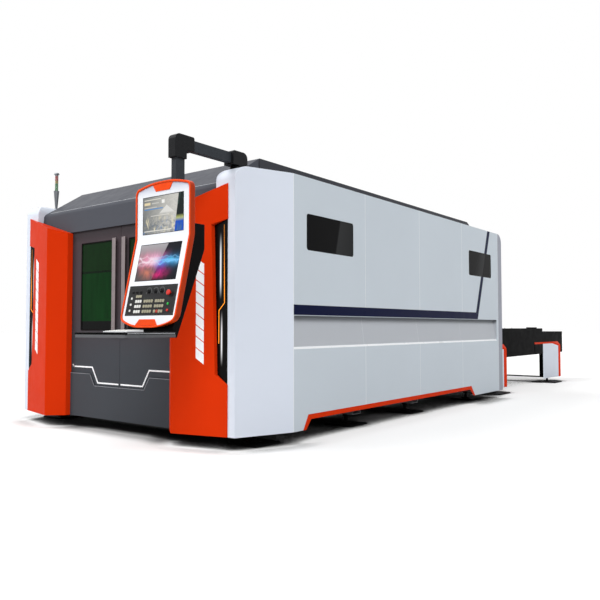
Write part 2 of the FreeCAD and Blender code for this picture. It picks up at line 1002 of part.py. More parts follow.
# ---------------------------------------------------------------- signal tower
def tower_pieces():
    """Tapered base with the cap, then the three lamps from the bottom up."""
    base = V(at(-tower_setback), half_width - tower_inset, panel_top)
    flange_line = [(2 * tower_cone_low, 0.0), (2 * tower_cone_low, 6.0), (tower_cone_low, 14.0)]
    cone = flatted(16, flange_line + [(tower_cone_high, tower_cone)], base)
    lamps = []
    height = tower_cone
    for lamp_height in lamp_heights:
        lamp_line = [(lamp_radius, height), (lamp_radius, height + lamp_height)]
        lamps.append(flatted(16, lamp_line, base))
        height += lamp_height
    cap_line = [
        (lamp_radius, height),
        (lamp_radius, height + tower_cap / 2),
        (tower_cap_radius, height + tower_cap / 2),
        (tower_cap_radius - 6.0, height + tower_cap),
    ]
    cap = flatted(16, cap_line, base)
    return [cone, cap], lamps


# ---------------------------------------------------------------- suspension arm
arm_x = at(-arm_setback)
arm_y = arm_inset - half_width
drop_x = arm_x - arm_reach
tube_low = arm_level - arm_tube_height / 2
tube_high = arm_level + arm_tube_height / 2
socket_x = arm_x - block_front + socket
elbow_x = drop_x + elbow_rear


def arm_base():
    """Flanged base on the cabinet roof with the pin that the arm turns on."""
    flange_line = [
        (arm_base_radius, 0.0),
        (arm_base_radius, arm_base_height * 0.4),
        (arm_base_radius - 8.0, arm_base_height),
    ]
    base = V(arm_x, arm_y, panel_top)
    pin = cylinder(arm_pin_radius, arm_base_height + arm_pin_height, base)
    return fuse([flatted(24, flange_line, base), pin])


def arm_block():
    """Cast swivel block: socket for the arm in front, bore for the pin below."""
    outline = rectangle(arm_x - block_front, arm_x + block_rear, block_low, block_high)
    body = prism(
        "side", outline, arm_y - block_half, arm_y + block_half, [0, 0, block_round, elbow_crook]
    )
    bore = cylinder(
        arm_pin_radius + bore_gap,
        arm_base_height + arm_pin_height + 2.0 - (block_low - panel_top),
        V(arm_x, arm_y, block_low),
    )
    return body.cut(bore).cut(arm_bar(arm_x - block_front - sheet, socket_x))


def arm_bar(start, end):
    half = arm_tube_width / 2
    return block((start, end), (arm_y - half, arm_y + half), (tube_low, tube_high))


def arm_tube():
    """Hollow bar between the block's socket and the elbow's."""
    half = arm_tube_width / 2 - tube_wall
    bar = arm_bar(elbow_x, socket_x)
    core = block(
        (elbow_x - sheet, socket_x + sheet),
        (arm_y - half, arm_y + half),
        (tube_low + tube_wall, tube_high - tube_wall),
    )
    return bar.cut(core)


def arm_elbow():
    """Cast elbow that turns the level arm into the drop tube."""
    front = drop_x - elbow_front
    outline = [
        (front, elbow_low),
        (drop_x + elbow_rear, elbow_low),
        (drop_x + elbow_rear, elbow_arm_low),
        (drop_x + elbow_arm, elbow_arm_low),
        (drop_x + elbow_arm, elbow_high),
        (front, elbow_high),
    ]
    rounds = [0, 0, elbow_crook, 0, elbow_crook, elbow_round]
    body = prism("side", outline, arm_y - elbow_half, arm_y + elbow_half, rounds)
    return body.cut(arm_bar(elbow_x, drop_x + elbow_arm + sheet)).cut(drop_bar(elbow_low - sheet))


def drop_bar(low):
    half_x = arm_tube_height / 2
    half_y = arm_tube_width / 2
    return block(
        (drop_x - half_x, drop_x + half_x),
        (arm_y - half_y, arm_y + half_y),
        (low, tube_low - sheet),
    )


def drop_tube():
    """Upright tube from the elbow down to the pendant's swivel pin."""
    low = drop_tube_low + collar_height
    half_x = arm_tube_height / 2 - tube_wall
    half_y = arm_tube_width / 2 - tube_wall
    bar = drop_bar(low)
    core = block(
        (drop_x - half_x, drop_x + half_x),
        (arm_y - half_y, arm_y + half_y),
        (low + 2 * tube_wall, tube_low),
    )
    collar_line = [(collar_radius, 0.0), (collar_radius, collar_height)]
    collar = flatted(24, collar_line, V(drop_x, arm_y, drop_tube_low))
    pin = cylinder(pendant_pin_radius, pendant_pin, V(drop_x, arm_y, drop_tube_low - pendant_pin))
    return fuse([bar.cut(core), collar, pin])


# ---------------------------------------------------------------- pendant
face_x = drop_x - pendant_face_reach


def face_at(height):
    """X of the pendant's front plane, which leans out below the bend."""
    return face_x - max(pendant_bend - height, 0.0) * tilt_slope


def band(front_gap, back_gap, half=2 * pendant_half):
    """Bent slab behind the pendant's front plane, between two depths."""
    low = pendant_low - 2 * flange
    high = pendant_top + 2 * flange
    points = [
        (face_at(low) + front_gap, low),
        (face_x + front_gap, pendant_bend),
        (face_x + front_gap, high),
        (face_x + back_gap, high),
        (face_x + back_gap, pendant_bend),
        (face_at(low) + back_gap, low),
    ]
    return prism("side", points, arm_y - half, arm_y + half)


def pendant_outline(inset):
    """Front outline of the pendant in Y and Z, with its raised top and low chin."""
    half = pendant_half - inset
    points = [
        (half, pendant_hip + inset / 2),
        (half, pendant_shoulder - inset),
        (pendant_top_break, pendant_top - inset),
        (-pendant_top_break, pendant_top - inset),
        (-half, pendant_shoulder - inset),
        (-half, pendant_hip + inset / 2),
        (-pendant_low_break, pendant_low + inset),
        (pendant_low_break, pendant_low + inset),
    ]
    return [(arm_y + across, height) for across, height in points]


def outline_prism(points, radii=0.0):
    return prism("front", points, face_at(pendant_low) - 4 * flange, face_x + 4 * flange, radii)


def pendant_body(inset):
    """Block with the pendant's outline drawn in by inset, its corners rounded and its ends arched."""
    top = [pendant_shoulder_round, pendant_crown_round, pendant_crown_round, pendant_shoulder_round]
    rounds = [pendant_hip_round] + top + [pendant_hip_round, pendant_chin_round, pendant_chin_round]
    return outline_prism(pendant_outline(inset), [radius - inset for radius in rounds])


def screen_prism(half, low, high, gap):
    return outline_prism(rectangle(arm_y - half + gap, arm_y + half - gap, low + gap, high - gap))


def face_cutouts(gap):
    return [
        screen_prism(screen_half, upper_screen_low, upper_screen_high, gap),
        screen_prism(screen_half, lower_screen_low, lower_screen_high, gap),
        screen_prism(key_half, key_low, key_high, gap),
    ]


control_push = V(math.cos(math.radians(pendant_tilt)), 0, -math.sin(math.radians(pendant_tilt)))
control_depth = rim_stand + screen_inset


def control_spot(place, stand):
    """Point over the key panel at (across, height), stand above its surface."""
    across, height = place
    surface = V(face_at(height) + control_depth, arm_y + across, height)
    return surface - control_push * stand


def control_hole(place, radius, depth):
    return cylinder(radius, depth + 10.0, control_spot(place, 10.0), control_push)


def pendant_shell():
    """Moulded shell: a rim that stands proud of the face plate, and its back."""
    body = pendant_body(0.0).common(band(0.0, pendant_depth))
    pocket = pendant_body(rim_width).common(band(-1.0, rim_stand + face_plate))
    chest = pendant_body(rim_width + rim_ledge).common(band(0.0, pendant_depth - pendant_wall))
    return body.cut(pocket).cut(chest)


def pendant_face():
    """White face plate in the rim, cut out for the screens and the key panel."""
    plate = pendant_body(rim_width).common(band(rim_stand, rim_stand + face_plate))
    for cutout in face_cutouts(0.0):
        plate = plate.cut(cutout)
    return plate


def inlay(cutout):
    return cutout.common(band(control_depth, rim_stand + face_plate))


def key_panel(cutout):
    """Key panel with guide holes for the push buttons."""
    plate = inlay(cutout)
    for place, radius in push_controls:
        plate = plate.cut(control_hole(place, radius + bore_gap, control_pocket))
    return plate


def pendant_housing():
    """Rear housing behind the shell: cable chest above, tapering to the tray foot."""
    back = drop_x + housing_back
    foot_x = drop_x - housing_foot_reach
    shell_back_low = face_at(pendant_low) + pendant_depth
    points = [
        (face_x + pendant_depth, housing_top),
        (face_x + pendant_depth, pendant_bend),
        (shell_back_low, pendant_low),
        (foot_x - housing_toe, pendant_low - tray_plate),
        (foot_x - housing_toe, housing_foot),
        (foot_x, housing_foot),
        (back, housing_knee),
        (back, housing_top),
    ]
    body = prism("side", points, arm_y - housing_half, arm_y + housing_half)
    hollow = prism(
        "side",
        shrunk(points, pendant_wall),
        arm_y - housing_half + pendant_wall,
        arm_y + housing_half - pendant_wall,
    )
    boss_low = drop_tube_low - pendant_pin - 2 * sheet
    boss = cylinder(collar_radius, drop_tube_low - seat - boss_low, V(drop_x, arm_y, boss_low))
    bore = cylinder(
        pendant_pin_radius + bore_gap,
        pendant_pin + 2.0,
        V(drop_x, arm_y, drop_tube_low - pendant_pin - 1.0),
    )
    flat = block(
        (drop_x - collar_radius, back),
        (arm_y - collar_radius, arm_y + collar_radius),
        (boss_low, drop_tube_low),
    )
    return fuse([body.cut(hollow), boss.common(flat)]).cut(bore)


def pendant_tray():
    """Keyboard tray: thin shelf with a raised front lip and a box under it."""
    x_span = (at(tray_front), at(tray_rear))
    y_span = (arm_y - tray_half, arm_y + tray_half)
    high = tray_low + tray_plate
    shelf = block(x_span, y_span, (tray_low, high))
    dish = block(
        (x_span[0] + tray_plate, x_span[1] - tray_plate),
        (y_span[0] + tray_plate, y_span[1] - tray_plate),
        (high - tray_lip, high + tray_lip),
    )
    under = block(
        (x_span[0] + tray_box_inset, x_span[1]),
        (y_span[0] + tray_box_inset, y_span[1] - tray_box_inset),
        (tray_low - tray_box, tray_low),
    )
    tray_floor = high - tray_lip - sheet
    recess = block(
        (x_span[0] + tray_box_inset + sheet, x_span[1] - sheet),
        (y_span[0] + tray_box_inset + sheet, y_span[1] - tray_box_inset - sheet),
        (tray_low - tray_box - sheet, tray_floor),
    )
    return fuse([shelf.cut(dish), under]).cut(recess)


def keyboard():
    """Compact keyboard lying in the tray, higher at its rear edge."""
    start = at(tray_front) + keyboard_inset
    low = tray_low + tray_plate - tray_lip
    points = [
        (start, low),
        (start + keyboard_depth, low),
        (start + keyboard_depth, low + keyboard_tail),
        (start, low + keyboard_height),
    ]
    edge = arm_y - tray_half + keyboard_inset
    return prism("side", points, edge, edge + keyboard_length)


def emergency_stop():
    """Mushroom cap on a stem that slides in the key panel."""
    cap_line = [
        (estop_radius - 2.0, button_length),
        (estop_radius, button_length + 3.0),
        (estop_radius, button_length + estop_cap - 4.0),
        (estop_radius * 0.7, button_length + estop_cap),
    ]
    base = control_spot(estop_place, estop_stand - button_length)
    stem = cylinder(estop_stem, button_length, base, control_push * -1)
    return fuse([stem, flatted(20, cap_line, base, control_push * -1)])


def push_button(place):
    points = [
        (0.0, 0.0),
        (button_radius, 0.0),
        (button_radius, button_length - 1.5),
        (button_radius - 1.5, button_length),
        (0.0, button_length),
    ]
    return turned(points, control_spot(place, button_stand - button_length), control_push * -1)


def override_knob(place):
    """Knob with a round skirt, a flatted grip and a pointer rib, just clear of the panel."""
    spot = control_spot(place, seat)
    skirt = cylinder(knob_radius, knob_skirt, V(0, 0, 0), V(0, 0, 1))
    grip_line = [(knob_radius - 2.0, knob_skirt), (knob_radius - 4.0, knob_height)]
    grip = flatted(12, grip_line, V(0, 0, 0))
    rib = block((-2.0, 2.0), (0.0, knob_radius - 1.0), (knob_skirt, knob_height + 2.0))
    knob = fuse([skirt, grip, rib])
    knob.Placement = FreeCAD.Placement(spot, FreeCAD.Rotation(V(0, 0, 1), control_push * -1))
    return knob


# ---------------------------------------------------------------- gantry
gantry_x = at(gantry_place)


def guide_rails():
    """Two long guides and two racks on top of the bed's beams."""
    x_span = (at(pallet_inside) - 2 * flange, at(bed_rear) - sheet)
    guide = block(
        x_span,
        (-guide_line - guide_width / 2, -guide_line + guide_width / 2),
        (bed_top, bed_top + guide_height),
    )
    rack_span = (-rack_line - guide_width / 2, -rack_line + guide_width / 2)
    rack = block(x_span, rack_span, (bed_top, bed_top + guide_width))
    return both(guide) + both(rack)


def gantry_beam():
    """Box beam on two trucks, with two guides on its front for the head's carriage."""
    half = gantry_depth / 2
    beam_high = gantry_low + gantry_height
    beam_section = [
        (gantry_x - half, gantry_low),
        (gantry_x + half, gantry_low),
        (gantry_x + half, beam_high - gantry_height / 3),
        (gantry_x + half * 0.6, beam_high),
        (gantry_x - half, beam_high),
    ]
    beam = prism("side", beam_section, -truck_outer, truck_outer)
    core_section = rectangle(
        gantry_x - half + gantry_wall,
        gantry_x + half * 0.6 - gantry_wall,
        gantry_low + gantry_wall,
        beam_high - gantry_wall,
    )
    beam = beam.cut(prism("side", core_section, -truck_outer - 1.0, truck_outer + 1.0))
    parts = [beam]
    for side in (-1, 1):
        span = sorted((side * truck_inner, side * truck_outer))
        truck = block(
            (gantry_x - truck_length / 2, gantry_x + truck_length / 2), span, (bed_top + 6.0, gantry_low)
        )
        for line, width, height in (
            (guide_line, guide_width, guide_height),
            (rack_line, guide_width, guide_width),
        ):
            slot = (side * line - width / 2 - slide_gap, side * line + width / 2 + slide_gap)
            truck = truck.cut(
                block(
                    (gantry_x - truck_length, gantry_x + truck_length),
                    slot,
                    (bed_top, bed_top + height + slide_gap),
                )
            )
        parts.append(truck)
    front = gantry_x - half
    for height in cross_guide_levels():
        parts.append(
            block(
                (front - cross_guide, front),
                (-truck_outer, truck_outer),
                (height, height + cross_guide),
            )
        )
    return fuse(parts)


def cross_guide_levels():
    margin = gantry_height / 6
    return (gantry_low + margin, gantry_low + gantry_height - margin - cross_guide)


def head_carriage():
    """Plate that runs across the gantry, with guide shoes and the height drive's box."""
    back = gantry_x - gantry_depth / 2 - slide_gap
    half = carriage_width / 2
    plate_back = back - cross_guide
    high = gantry_low + gantry_height + flange
    body = block((plate_back - carriage_plate, back), (-half, half), (gantry_low, high))
    for height in cross_guide_levels():
        body = body.cut(
            block(
                (back - cross_guide - slide_gap, back + slide_gap),
                (-half - 1.0, half + 1.0),
                (height - slide_gap, height + cross_guide + slide_gap),
            )
        )
    drive = block(
        (plate_back - carriage_plate, back + gantry_depth / 2),
        (-half / 2, half / 2),
        (gantry_low + gantry_height + 2 * slide_gap, high + flange),
    )
    cheeks = []
    front = plate_back - carriage_plate
    for side in (-1, 1):
        span = sorted((side * (head_width / 2 + slide_gap), side * half))
        cheeks.append(block((front - head_depth / 2, front), span, (gantry_low, high)))
    return fuse([body, drive] + cheeks)


def head_front():
    """X of the carriage's front face, which the height slide runs on."""
    return gantry_x - gantry_depth / 2 - slide_gap - cross_guide - carriage_plate


def z_slide():
    """Height slide between the carriage's cheeks, with its motor on top."""
    back = head_front() - slide_gap
    low = gantry_low + flange / 2
    body = block((back - head_depth, back), (-head_width / 2, head_width / 2), (low, low + head_height))
    motor_line = [(head_depth / 2 - 2.0, 0.0), (head_depth / 2 - 2.0, 2 * flange)]
    motor = flatted(16, motor_line, V(back - head_depth / 2, 0, low + head_height))
    arm = block(
        (back - head_depth - flange, back - head_depth),
        (-head_width / 2, head_width / 2),
        (low, low + flange),
    )
    return fuse([body, motor, arm])


def cutting_head():
    """Turned cutting head: collimator, focus body, sensor ring and nozzle cone."""
    centre_x = head_front() - slide_gap - head_depth - flange
    mount_low = gantry_low + flange / 2
    profile = [
        (3.0, 0.0),
        (8.0, 16.0),
        (14.0, 18.0),
        (24.0, 48.0),
        (32.0, 50.0),
        (32.0, 70.0),
        (40.0, 76.0),
        (40.0, mount_low - nozzle_height),
    ]
    nose = flatted(16, profile, V(centre_x, 0, nozzle_height))
    chest = block(
        (centre_x - 46.0, centre_x + flange),
        (-46.0, 46.0),
        (mount_low + flange, mount_low + flange + 190.0),
    )
    neck = flatted(16, [(34.0, 0.0), (34.0, flange)], V(centre_x - 8.0, 0, mount_low))
    neck = neck.cut(
        block(
            (centre_x, centre_x + 2 * flange),
            (-head_width, head_width),
            (mount_low - 1.0, mount_low + flange + 1.0),
        )
    )
    collimator = flatted(16, [(26.0, 0.0), (26.0, 120.0)], V(centre_x, 0, mount_low + flange + 190.0))
    return fuse([nose, neck, chest, collimator])


# ---------------------------------------------------------------- pallets
def slat_section():
    """Toothed slat seen from the pallet's end, in Y and Z above the pallet's level."""
    half = pallet_half - pallet_beam
    count = int(2 * half // tooth_pitch)
    step = 2 * half / count
    points = [(-half, slat_seat), (-half, slat_top - tooth_depth)]
    for index in range(count):
        start = -half + index * step
        points.append((start + step / 2, slat_top))
        points.append((start + step, slat_top - tooth_depth))
    points.append((half, slat_seat))
    return points


def slat_places(start):
    """X of each slat, in even steps between the pallet's end beams."""
    clear = pallet_length - 2 * pallet_beam
    count = int(clear // slat_pitch)
    step = clear / count
    return [start + pallet_beam + step * (index + 0.5) for index in range(count)]


def axle_places(start):
    """X of the two axles, each midway between two slats."""
    slats = slat_places(start)
    step = slats[1] - slats[0]
    skip = max(int(round((axle_inset - pallet_beam) / step)), 1)
    return (slats[skip] - step / 2, slats[-1 - skip] + step / 2)


def pallet_side(start, level):
    """Right side beam of a pallet with the ledge under its slats and the axle bores."""
    x_span = (start, start + pallet_length)
    inner = -pallet_half + pallet_beam
    ledge_top = level + slat_seat
    beam = block(x_span, (-pallet_half, inner), (level, level + pallet_height))
    ledge = block(
        (x_span[0] + pallet_beam, x_span[1] - pallet_beam),
        (inner - 1.0, inner + pallet_beam / 2),
        (ledge_top - rail_plate, ledge_top),
    )
    side = fuse([beam, ledge])
    for place in axle_places(start):
        centre = V(place, -pallet_half - 1.0, level + wheel_radius)
        side = side.cut(cylinder(axle_radius + bore_gap, pallet_beam + 2.0, centre, V(0, 1, 0)))
        gap = block(
            (place - axle_radius - pallet_beam / 5, place + axle_radius + pallet_beam / 5),
            (inner, inner + pallet_beam),
            (level, ledge_top + 1.0),
        )
        side = side.cut(gap)
    return side


def pallet(start, level):
    """Pallet bars and loose slats, as separate solids."""
    inner = pallet_half - pallet_beam
    parts = both(pallet_side(start, level))
    for end in (start, start + pallet_length - pallet_beam):
        parts.append(block((end, end + pallet_beam), (-inner, inner), (level, level + pallet_height)))
    slats = slat_places(start)
    rest = inner - pallet_beam / 2
    for index in (len(slats) // 3, 2 * len(slats) // 3):
        x_span = (slats[index] - pallet_beam / 2, slats[index] + pallet_beam / 2)
        parts.append(block(x_span, (-rest, rest), (level, level + slat_seat)))
    section = [(across, level + height) for across, height in slat_section()]
    return parts + [prism("front", section, place - slat / 2, place + slat / 2) for place in slats]


def wheelset(place, level):
    """Axle across the pallet with a wheel on each end, turning in the side beams."""
    centre = V(place, 0, level + wheel_radius)
    reach = pallet_half + wheel_gap + wheel_width / 2
    parts = [cylinder(axle_radius, 2 * reach, centre - V(0, reach, 0), V(0, 1, 0))]
    for start in (-pallet_half - wheel_gap - wheel_width, pallet_half + wheel_gap):
        wheel_line = [(wheel_radius, start), (wheel_radius, start + wheel_width)]
        parts.append(flatted(20, wheel_line, centre, V(0, 1, 0)))
    return fuse(parts)


# ---------------------------------------------------------------- exchange table
def table_side():
    """Right side box of the exchange table: stepped cover, pallet rails and three small stops."""
    outline = [
        (at(table_front), table_low),
        (at(table_rear), table_low),
        (at(table_rear), table_tail_high),
        (at(table_step), table_tail_high),
        (at(table_step), table_high),
        (at(table_front), table_high),
    ]
    hollow = shrunk(outline, table_wall)
    hollow[0] = (hollow[0][0], table_low - table_wall)
    hollow[1] = (hollow[1][0], table_low - table_wall)
    cover = prism("side", outline, -table_outer, -rail_wall)
    cover = cover.cut(prism("side", hollow, -table_outer + table_wall, -rail_wall - table_wall))
    parts = [cover]
    for level in (lower_level, upper_level):
        parts.append(pallet_rail(level, at(table_front), at(table_rear)))
    for place in bump_places:
        parts.append(
            block(
                (at(place) - bump_width / 2, at(place) + bump_width / 2),
                (-table_outer, -table_outer + bump_width),
                (table_high - 1.0, table_high + bump_height),
            )
        )
    return fuse(parts)


def table_leg(front, rear):
    """Wide box leg under the right side box."""
    span = (at(front), at(rear) - 2 * sheet)
    leg = block(span, (-table_outer, -table_leg_inner), (leg_low, table_low))
    core = block(
        (span[0] + table_wall, span[1] - table_wall),
        (-table_outer + table_wall, -table_leg_inner - table_wall),
        (leg_low + table_wall, table_low + 1.0),
    )
    return leg.cut(core)


def exchange_frame():
    """Table sections: two side boxes, four legs, cross beams and the ties under the legs."""
    parts = both(table_side())
    for front, rear in zip(leg_fronts, leg_rears):
        parts += both(table_leg(front, rear))
        middle = at(front) + tie_setback
        tie = (middle - tie_width / 2, middle + tie_width / 2)
        reach = table_leg_inner + tie_lap
        parts.append(block(tie, (-reach, reach), (leg_low - tie_height, leg_low)))
        middle = at(front) + cross_setback
        beam = (middle - cross_width / 2, middle + cross_width / 2)
        reach = rail_wall + cross_lap
        parts.append(block(beam, (-reach, reach), (table_low - cross_height, table_low)))
    return parts


def floor_strap(place):
    """Flat strap on the floor between the foot plates of a pair of table legs."""
    middle = at(place) - strap_setback
    reach = leg_foot_line - leg_foot / 2
    return block((middle - strap_width / 2, middle + strap_width / 2), (-reach, reach), (0.0, strap_height))


def below_bevel(drop):
    """Everything under the leg cover's bevelled top, lowered by drop."""
    high = cover_rim_low + rim_height - drop
    reach = 2 * cover_flare
    points = [
        (-table_outer - reach, 0.0),
        (-table_outer + reach, 0.0),
        (-table_outer + reach, high),
        (-table_outer - sheet, high),
        (-table_outer - reach, high - (reach - sheet) * cover_bevel),
    ]
    return prism("front", points, at(table_front) - flange, at(table_rear))


def facet_point(rear, back):
    """Point on the flared facet's inner face, back from its rear edge."""
    return (at(rear) - back, -table_outer - cover_flare * (cover_facet - back) / cover_facet)


def leg_cover(front, rear):
    """Light panel on the leg: flat in front, its rear part flared outwards."""
    path = [
        (at(front), -table_outer),
        (at(rear) - cover_facet, -table_outer),
        facet_point(rear, rim_band),
    ]
    skin = prism("plan", folded(path, -sheet), cover_low, cover_rim_low + rim_height)
    return skin.common(below_bevel(rim_height))


def leg_rim(front, rear):
    """Coloured cap over the cover's bevelled top, with the band down its rear edge."""
    outer = folded([(at(rear) - cover_facet, -table_outer), facet_point(rear, 0.0)], -sheet)[2]
    plan = [
        (at(front), -table_outer),
        (at(front), -table_outer - sheet),
        (at(rear) - cover_facet, -table_outer - sheet),
        outer,
        (at(rear) + sheet, -table_outer - cover_flare),
        (at(rear) + sheet, -table_outer),
    ]
    solid_top = prism("plan", plan, cover_low, cover_rim_low + rim_height)
    cap = solid_top.common(below_bevel(0.0)).cut(below_bevel(rim_height))
    path = [facet_point(rear, rim_band), facet_point(rear, 0.0), (at(rear), -table_outer)]
    band_piece = prism("plan", folded(path, -sheet), cover_low, cover_rim_low + rim_height)
    return fuse([cap, band_piece.common(below_bevel(rim_height))])


# ---------------------------------------------------------------- build and save
window_places = (front_window, skin_length - rear_window)
push_controls = ((estop_place, estop_stem), (start_place, button_radius), (stop_place, button_radius))


def seams():
    """Start and end of each side panel, counted from the first seam."""
    ends = [bay_length * index for index in range(1, front_bays + 1)] + [skin_length]
    starts = [0.0] + ends[:-1]
    return list(zip(starts, ends))


def main():
    os.makedirs("parts", exist_ok=True)
    panels = [side_panel(start, end - panel_gap) for start, end in seams()] + [end_post_piece()]
    save("side_panels_right", *panels)
    save("side_panels_left", *[left(panel) for panel in panels])
    cabinet = corner_cabinet()
    save("corner_cabinet_right", cabinet)
    save("corner_cabinet_left", left(cabinet))
    pane_back = -half_width + sheet
    panes = []
    for place in window_places:
        pane_piece = prism("side", window_outline(place, pane_lap), pane_back, pane_back + pane, window_round)
        panes += both(pane_piece)
    save("side_windows", *panes)
    trim_span = (-half_width, -half_width + sheet)
    trim = notch_tool(0.0, *trim_span).cut(notch_tool(trim_width, *trim_span))
    trim = trim.common(block((at(0.0), at(skin_length)), trim_span, (panel_low, panel_top)))
    save("sill_trims", *both(trim))
    save("machine_bed", *machine_bed())
    feet = []
    for place in foot_places:
        feet += both(levelling_foot(at(place), -foot_line, foot_size, bed_clear))
    for place in leg_foot_places:
        feet += both(levelling_foot(at(place), -leg_foot_line, leg_foot, leg_low))
        feet.append(floor_strap(place))
    save("levelling_feet", *feet)
    save("housing_frame", *both(housing_frame_side()))
    column = front_column()
    save("front_column_right", column)
    save("front_column_left", left(column))
    save("column_light_boxes", *both(column_light_box()))
    save("front_canopy", front_canopy())
    save("roof_cover", roof_cover())
    save("rear_wall", rear_wall())
    save("front_skirt", front_skirt())
    top_web = leaf_high + track_end_gap + sheet
    low_web = leaf_low - seat - sheet
    save(
        "door_tracks",
        door_track((top_web - track_depth, top_web), "above"),
        door_track((low_web, low_web + track_depth), "below"),
    )
    door = (("door_leaf", door_leaf()), ("door_glass", door_glass()), ("door_handle", door_handle()))
    for name, piece in door:
        save(name + "_right", piece)
        save(name + "_left", left(piece))
    tower, lamps = tower_pieces()
    save("tower_post", *tower)
    for name, lamp in zip(("tower_green_lamp", "tower_amber_lamp", "tower_red_lamp"), lamps):
        save(name, lamp)
    save("arm_base", arm_base())
    save("arm_block", arm_block())
    save("arm_tube", arm_tube())
    save("arm_elbow", arm_elbow())
    save("drop_tube", drop_tube())
    save("pendant_shell", pendant_shell())
    save("pendant_face", pendant_face())
    cutouts = face_cutouts(seat)
    save("upper_screen", inlay(cutouts[0]))
    save("lower_screen", inlay(cutouts[1]))
    save("key_panel", key_panel(cutouts[2]))
    save("pendant_housing", pendant_housing())
    save("pendant_tray", pendant_tray())
    save("keyboard", keyboard())
    save("emergency_stop", emergency_stop())
    save("start_button", push_button(start_place))
    save("stop_button", push_button(stop_place))
    for index, place in enumerate(knob_places):
        save("override_knob_" + str(index + 1), override_knob(place))
    save("x_guides", *guide_rails())
    save("gantry_beam", gantry_beam())
    save("head_carriage", head_carriage())
    save("z_slide", z_slide())
    save("cutting_head", cutting_head())
    for name, start, level in (
        ("upper", at(pallet_outside), upper_level),
        ("lower", at(pallet_inside), lower_level),
    ):
        save(name + "_pallet", *pallet(start, level))
        for end, place in zip(("front", "rear"), axle_places(start)):
            save(name + "_wheels_" + end, wheelset(place, level))
    plate = block(
        (at(drive_plate_front), at(cover_fronts[1])),
        (-table_outer - sheet, -table_outer),
        (table_low + seat, cover_rim_low),
    )
    save("exchange_frame", *exchange_frame(), *both(plate))
    covers = []
    rims = []
    for cover_front, rim_front, rear in zip(cover_fronts, rim_fronts, leg_rears):
        covers += both(leg_cover(cover_front, rear))
        rims += both(leg_rim(rim_front, rear))
    save("leg_covers", *covers)
    save("leg_rims", *rims)


main()
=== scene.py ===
import json
import math

import bmesh
import bpy
from mathutils import Matrix, Vector
from mathutils.bvhtree import BVHTree


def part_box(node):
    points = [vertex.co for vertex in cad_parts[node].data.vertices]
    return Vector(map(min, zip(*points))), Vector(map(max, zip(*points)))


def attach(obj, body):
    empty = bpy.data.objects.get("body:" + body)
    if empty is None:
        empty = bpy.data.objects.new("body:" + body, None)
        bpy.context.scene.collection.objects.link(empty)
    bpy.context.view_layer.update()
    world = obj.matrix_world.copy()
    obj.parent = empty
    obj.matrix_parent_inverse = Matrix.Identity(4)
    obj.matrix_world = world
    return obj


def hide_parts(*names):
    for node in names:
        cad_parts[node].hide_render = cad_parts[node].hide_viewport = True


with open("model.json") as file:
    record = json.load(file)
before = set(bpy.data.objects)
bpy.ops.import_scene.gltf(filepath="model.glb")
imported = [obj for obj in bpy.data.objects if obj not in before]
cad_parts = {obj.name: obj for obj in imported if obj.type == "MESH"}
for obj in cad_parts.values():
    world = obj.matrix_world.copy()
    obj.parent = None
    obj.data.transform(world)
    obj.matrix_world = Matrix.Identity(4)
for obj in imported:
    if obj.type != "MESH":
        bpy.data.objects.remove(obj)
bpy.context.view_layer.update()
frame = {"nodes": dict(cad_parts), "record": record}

MM = 0.001
SEAM = -3.277              # X of the side panels' first seam, from which places at the front are counted
SIDE = {"right": -1, "left": 1}
HALF_WIDTH = 1.620         # outside of the side panels
BAND = (1.022, 1.104)      # heights of the blue band on the side panels
STRIPE_FOOT, STRIPE_TOP = (3.656, 1.099), (4.045, 2.146)  # ends of the slanted blue line: from the seam, up
ROOF_TOP = 2.330
REAR_WALL = 1.206
COLUMN_FRONT = SEAM - 0.497
SLOT_BACK = SEAM - 0.4924
PENDANT_MIDDLE = -1.325
START_ROW = 1.079          # height of the key panel's start button
PANEL_TILT = math.radians(12.8)
PANEL_UP = Vector((math.sin(PANEL_TILT), 0, math.cos(PANEL_TILT)))
AHEAD = -6.0               # X in front of everything, where rays towards the pendant start
BITE = 0.2 * MM            # how deep a laid-on detail sits in its face
EDGE = 0.8 * MM            # half the width of a paint edge

record = frame["record"]
body_of = {node: body for body, nodes in record["behaviour"]["bodies"].items() for node in nodes}
slot_of = {row["node"]: row["material_slot"] for row in record["subparts"]}


# ---------------------------------------------------------------- nodes
def feed(tree, socket, value):
    """Wire a socket to another one, or set it to a plain value."""
    if isinstance(value, bpy.types.NodeSocket):
        tree.links.new(value, socket)
    else:
        socket.default_value = value


def add_node(tree, kind, inputs=(), **settings):
    """New node with its settings made and its inputs fed, in order or by name."""
    node = tree.nodes.new(kind)
    for name, value in settings.items():
        setattr(node, name, value)
    for key, value in inputs.items() if isinstance(inputs, dict) else enumerate(inputs):
        feed(tree, node.inputs[key], value)
    return node


def sum_in(tree, operation, *values):
    return add_node(tree, "ShaderNodeMath", values, operation=operation).outputs[0]


# ---------------------------------------------------------------- colours and finishes
SHADER_SOCKETS = {
    "colour": "Base Color", "rough": "Roughness", "metal": "Metallic", "coat": "Coat Weight",
    "clear": "Transmission Weight", "ior": "IOR", "glow": "Emission Color", "glow_strength": "Emission Strength",
    "shine": "Specular IOR Level",
}


def shade_of(colour):
    """Linear colour of a paint chip given as three numbers up to 255; anything else is passed on."""
    if not isinstance(colour, tuple) or len(colour) != 3:
        return colour
    parts = (value / 255 for value in colour)
    return tuple(part / 12.92 if part <= 0.04045 else ((part + 0.055) / 1.055) ** 2.4 for part in parts) + (1.0,)


def tinted(colour, factor):
    return tuple(min(1.0, part * factor) for part in shade_of(colour)[:3]) + (1.0,)


